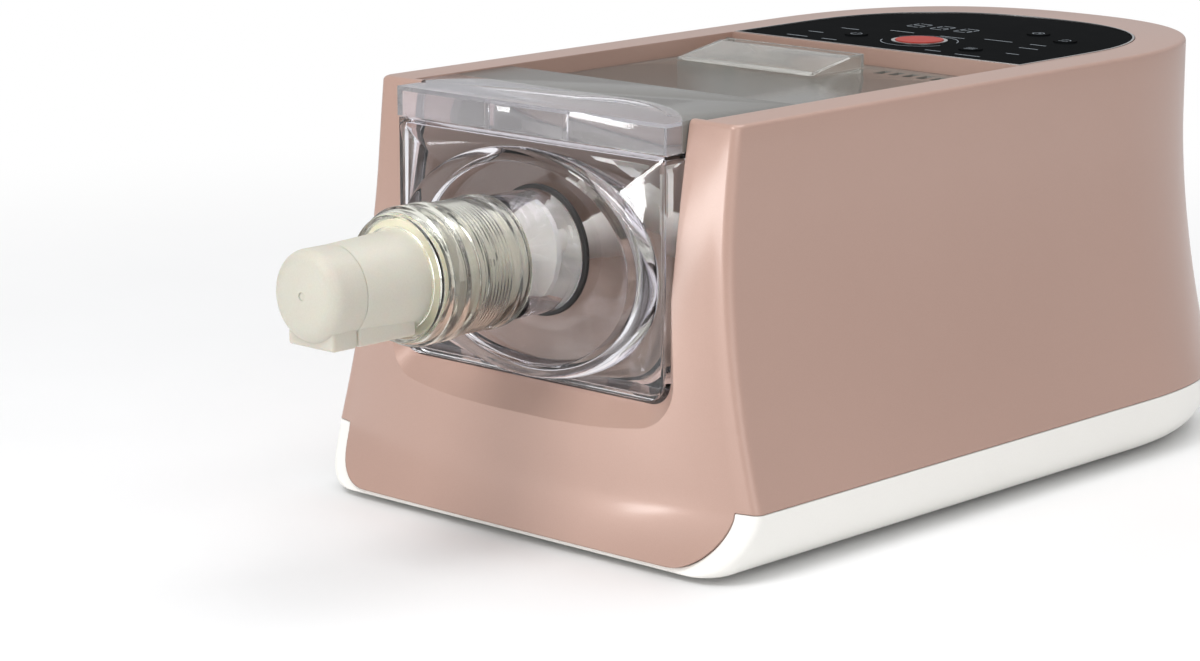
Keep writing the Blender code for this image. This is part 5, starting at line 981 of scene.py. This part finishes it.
def eased_copy(name, material, ease):
    """A CAD piece with the small rounded edges that its mould leaves, in place of the sharp one."""
    shape = bmesh.new()
    shape.from_mesh(nodes[name].data)
    bmesh.ops.remove_doubles(shape, verts=shape.verts, dist=WELD)
    bmesh.ops.dissolve_limit(shape, angle_limit=math.radians(FLAT), verts=shape.verts,
                             edges=shape.edges)
    eased = placed(name + "_eased", shape)
    eased.data.materials.append(material)
    eased.data.shade_smooth()
    rounding = eased.modifiers.new("eased_edges", "BEVEL")
    rounding.width = ease
    rounding.segments = 2
    rounding.limit_method = "ANGLE"
    rounding.angle_limit = math.radians(CREASE)
    rounding.use_clamp_overlap = True
    crisp = eased.modifiers.new("crisp", "EDGE_SPLIT")
    crisp.split_angle = math.radians(CREASE + CRISP_MARGIN)
    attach(eased, body_of[name])
    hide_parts(name)


def reckoned(tree, operation, *sources):
    """The result of one sum in a finish."""
    step = add(tree, "Math", *sources)
    step.operation = operation
    return step.outputs[0]


def clear_nose(material):
    """Fade a smoked plastic to clear in front of the curved crest that crosses the lid."""
    tree = material.node_tree
    shader = tree.nodes["Principled BSDF"]
    axes = add(tree, "SeparateXYZ", Vector=add(tree, "TexCoord").outputs["Object"])
    aside = reckoned(tree, "SUBTRACT", axes.outputs["X"], NOSE_BEND_START)
    aside = reckoned(tree, "MAXIMUM", aside, 0.0)
    square = reckoned(tree, "MULTIPLY", aside, aside)
    curve = reckoned(tree, "MULTIPLY_ADD", square, NOSE_BEND, axes.outputs["Y"])
    fade = add(tree, "MapRange", Value=curve, From_Min=front_y + NOSE_BACK,
               From_Max=front_y + NOSE_BACK + NOSE_SPAN).outputs["Result"]
    shade = add(tree, "Mix")
    shade.data_type = "RGBA"
    feed(tree, shade, Factor=fade, A=(*NOSE_TINT, 1),
         B=shader.inputs["Base Color"].links[0].from_socket)
    through = add(tree, "MapRange", Value=fade, To_Min=NOSE_CLEARNESS,
                  To_Max=shader.inputs["Transmission Weight"].default_value)
    sheen = add(tree, "Mix", Factor=fade, A=NOSE_ROUGHNESS,
                B=shader.inputs["Roughness"].links[0].from_socket)
    feed(tree, shader, Base_Color=shade.outputs["Result"],
         Transmission_Weight=through.outputs["Result"], Roughness=sheen.outputs["Result"])


clear_nose(lid_smoke)
eased_copy("lid", lid_smoke, LID_EASE)
dress(steel, "hinge_pin_left", "hinge_pin_right", "lid_magnet")

# Water inlet
# The inlet is a wedge-shaped funnel in lightly frosted acrylic. It is welded over the opening
# in the lid, so that water and egg run down into the tub while it mixes.
INLET_EASE = 0.0004
frosted = clear(moulded("frosted_inlet", (0.74, 0.73, 0.70), (0.69, 0.68, 0.65), 0.12, bump=0.04,
                        Transmission_Weight=0.86, IOR=1.35))
eased_copy("lid_inlet", frosted, INLET_EASE)

# Table and lamps
# The machine stands on a plain pale table that fades to white, in soft light from high in
# front, from the right and from above. Two lower lamps at the front draw its upright edges.
TABLE_HALF = 12.0
TABLE_FADE_START = 0.35
TABLE_FADE_END = 1.10
SKY_TINT = (0.97, 0.98, 1.0, 1)
SKY_STRENGTH = 0.50
LAMP_AIM = Vector((0, 0, 0.1))
LAMPS = (("key", (0.10, -1.75, 2.2), 32, 1.0, 1.0),
         ("front_soft", (-0.6, -2.3, 0.70), 3.5, 1.2, 1.0),
         ("front_strip", (-0.95, -2.1, 0.14), 5.5, 0.36, 0.24),
         ("fill", (2.0, -1.2, 0.9), 10, 1.6, 1.6),
         ("top", (0.2, 0.6, 2.2), 20, 1.6, 1.6))
plan = bmesh.new()
bmesh.ops.create_grid(plan, x_segments=1, y_segments=1, size=TABLE_HALF)
table = placed("table", plan)
table_top = moulded("table_top", (0.90, 0.90, 0.90), (0.89, 0.89, 0.89), 0.6, bump=0.02)
table.data.materials.append(table_top)
tree = table_top.node_tree
span = add(tree, "VectorMath", add(tree, "TexCoord").outputs["Object"])
span.operation = "LENGTH"
far = add(tree, "MapRange", Value=span.outputs["Value"], From_Min=TABLE_FADE_START,
          From_Max=TABLE_FADE_END)
far.interpolation_type = "SMOOTHSTEP"
sight = reckoned(tree, "MULTIPLY", far.outputs["Result"],
                 add(tree, "LightPath").outputs["Is Camera Ray"])
mixed = add(tree, "MixShader", sight, tree.nodes["Principled BSDF"].outputs["BSDF"],
            add(tree, "Emission").outputs["Emission"])
feed(tree, tree.nodes["Material Output"], Surface=mixed.outputs["Shader"])

world = bpy.data.worlds.new("studio")
bpy.context.scene.world = world
world.use_nodes = True
sky = world.node_tree
back = feed(sky, sky.nodes["Background"], Color=SKY_TINT, Strength=SKY_STRENGTH)
seen = add(sky, "Background", Color=(1, 1, 1, 1), Strength=1.0)
ray = add(sky, "LightPath")
either = reckoned(sky, "MAXIMUM", ray.outputs["Is Camera Ray"], ray.outputs["Is Transmission Ray"])
switch = add(sky, "MixShader", either, back.outputs["Background"], seen.outputs["Background"])
feed(sky, sky.nodes["World Output"], Surface=switch.outputs["Shader"])

for name, place, power, width, tall in LAMPS:
    lamp_data = bpy.data.lights.new(name, "AREA")
    lamp_data.energy = power
    lamp_data.shape = "RECTANGLE"
    lamp_data.size = width
    lamp_data.size_y = tall
    lamp = bpy.data.objects.new(name, lamp_data)
    lamp.location = place
    lamp.rotation_euler = (LAMP_AIM - Vector(place)).to_track_quat("-Z", "Y").to_euler()
    bpy.context.scene.collection.objects.link(lamp)

# Camera
# It stands low at the front right of the machine and looks a little down at it, as in the
# photograph, with a long lens.
camera_data = bpy.data.cameras.new("camera")
camera_data.lens = 106.55
camera_data.sensor_width = 36.0
camera = bpy.data.objects.new("camera", camera_data)
bpy.context.scene.collection.objects.link(camera)
azimuth, elevation = math.radians(43.0), math.radians(12.384)
backward = Vector((math.sin(azimuth) * math.cos(elevation),
                   -math.cos(azimuth) * math.cos(elevation), math.sin(elevation)))
camera.location = (1.15375, -1.34441, 0.46379)
camera.rotation_mode = "QUATERNION"
camera.rotation_quaternion = (-backward).to_track_quat("-Z", "Y")
bpy.context.scene.camera = camera
bpy.context.scene.view_settings.view_transform = "Standard"
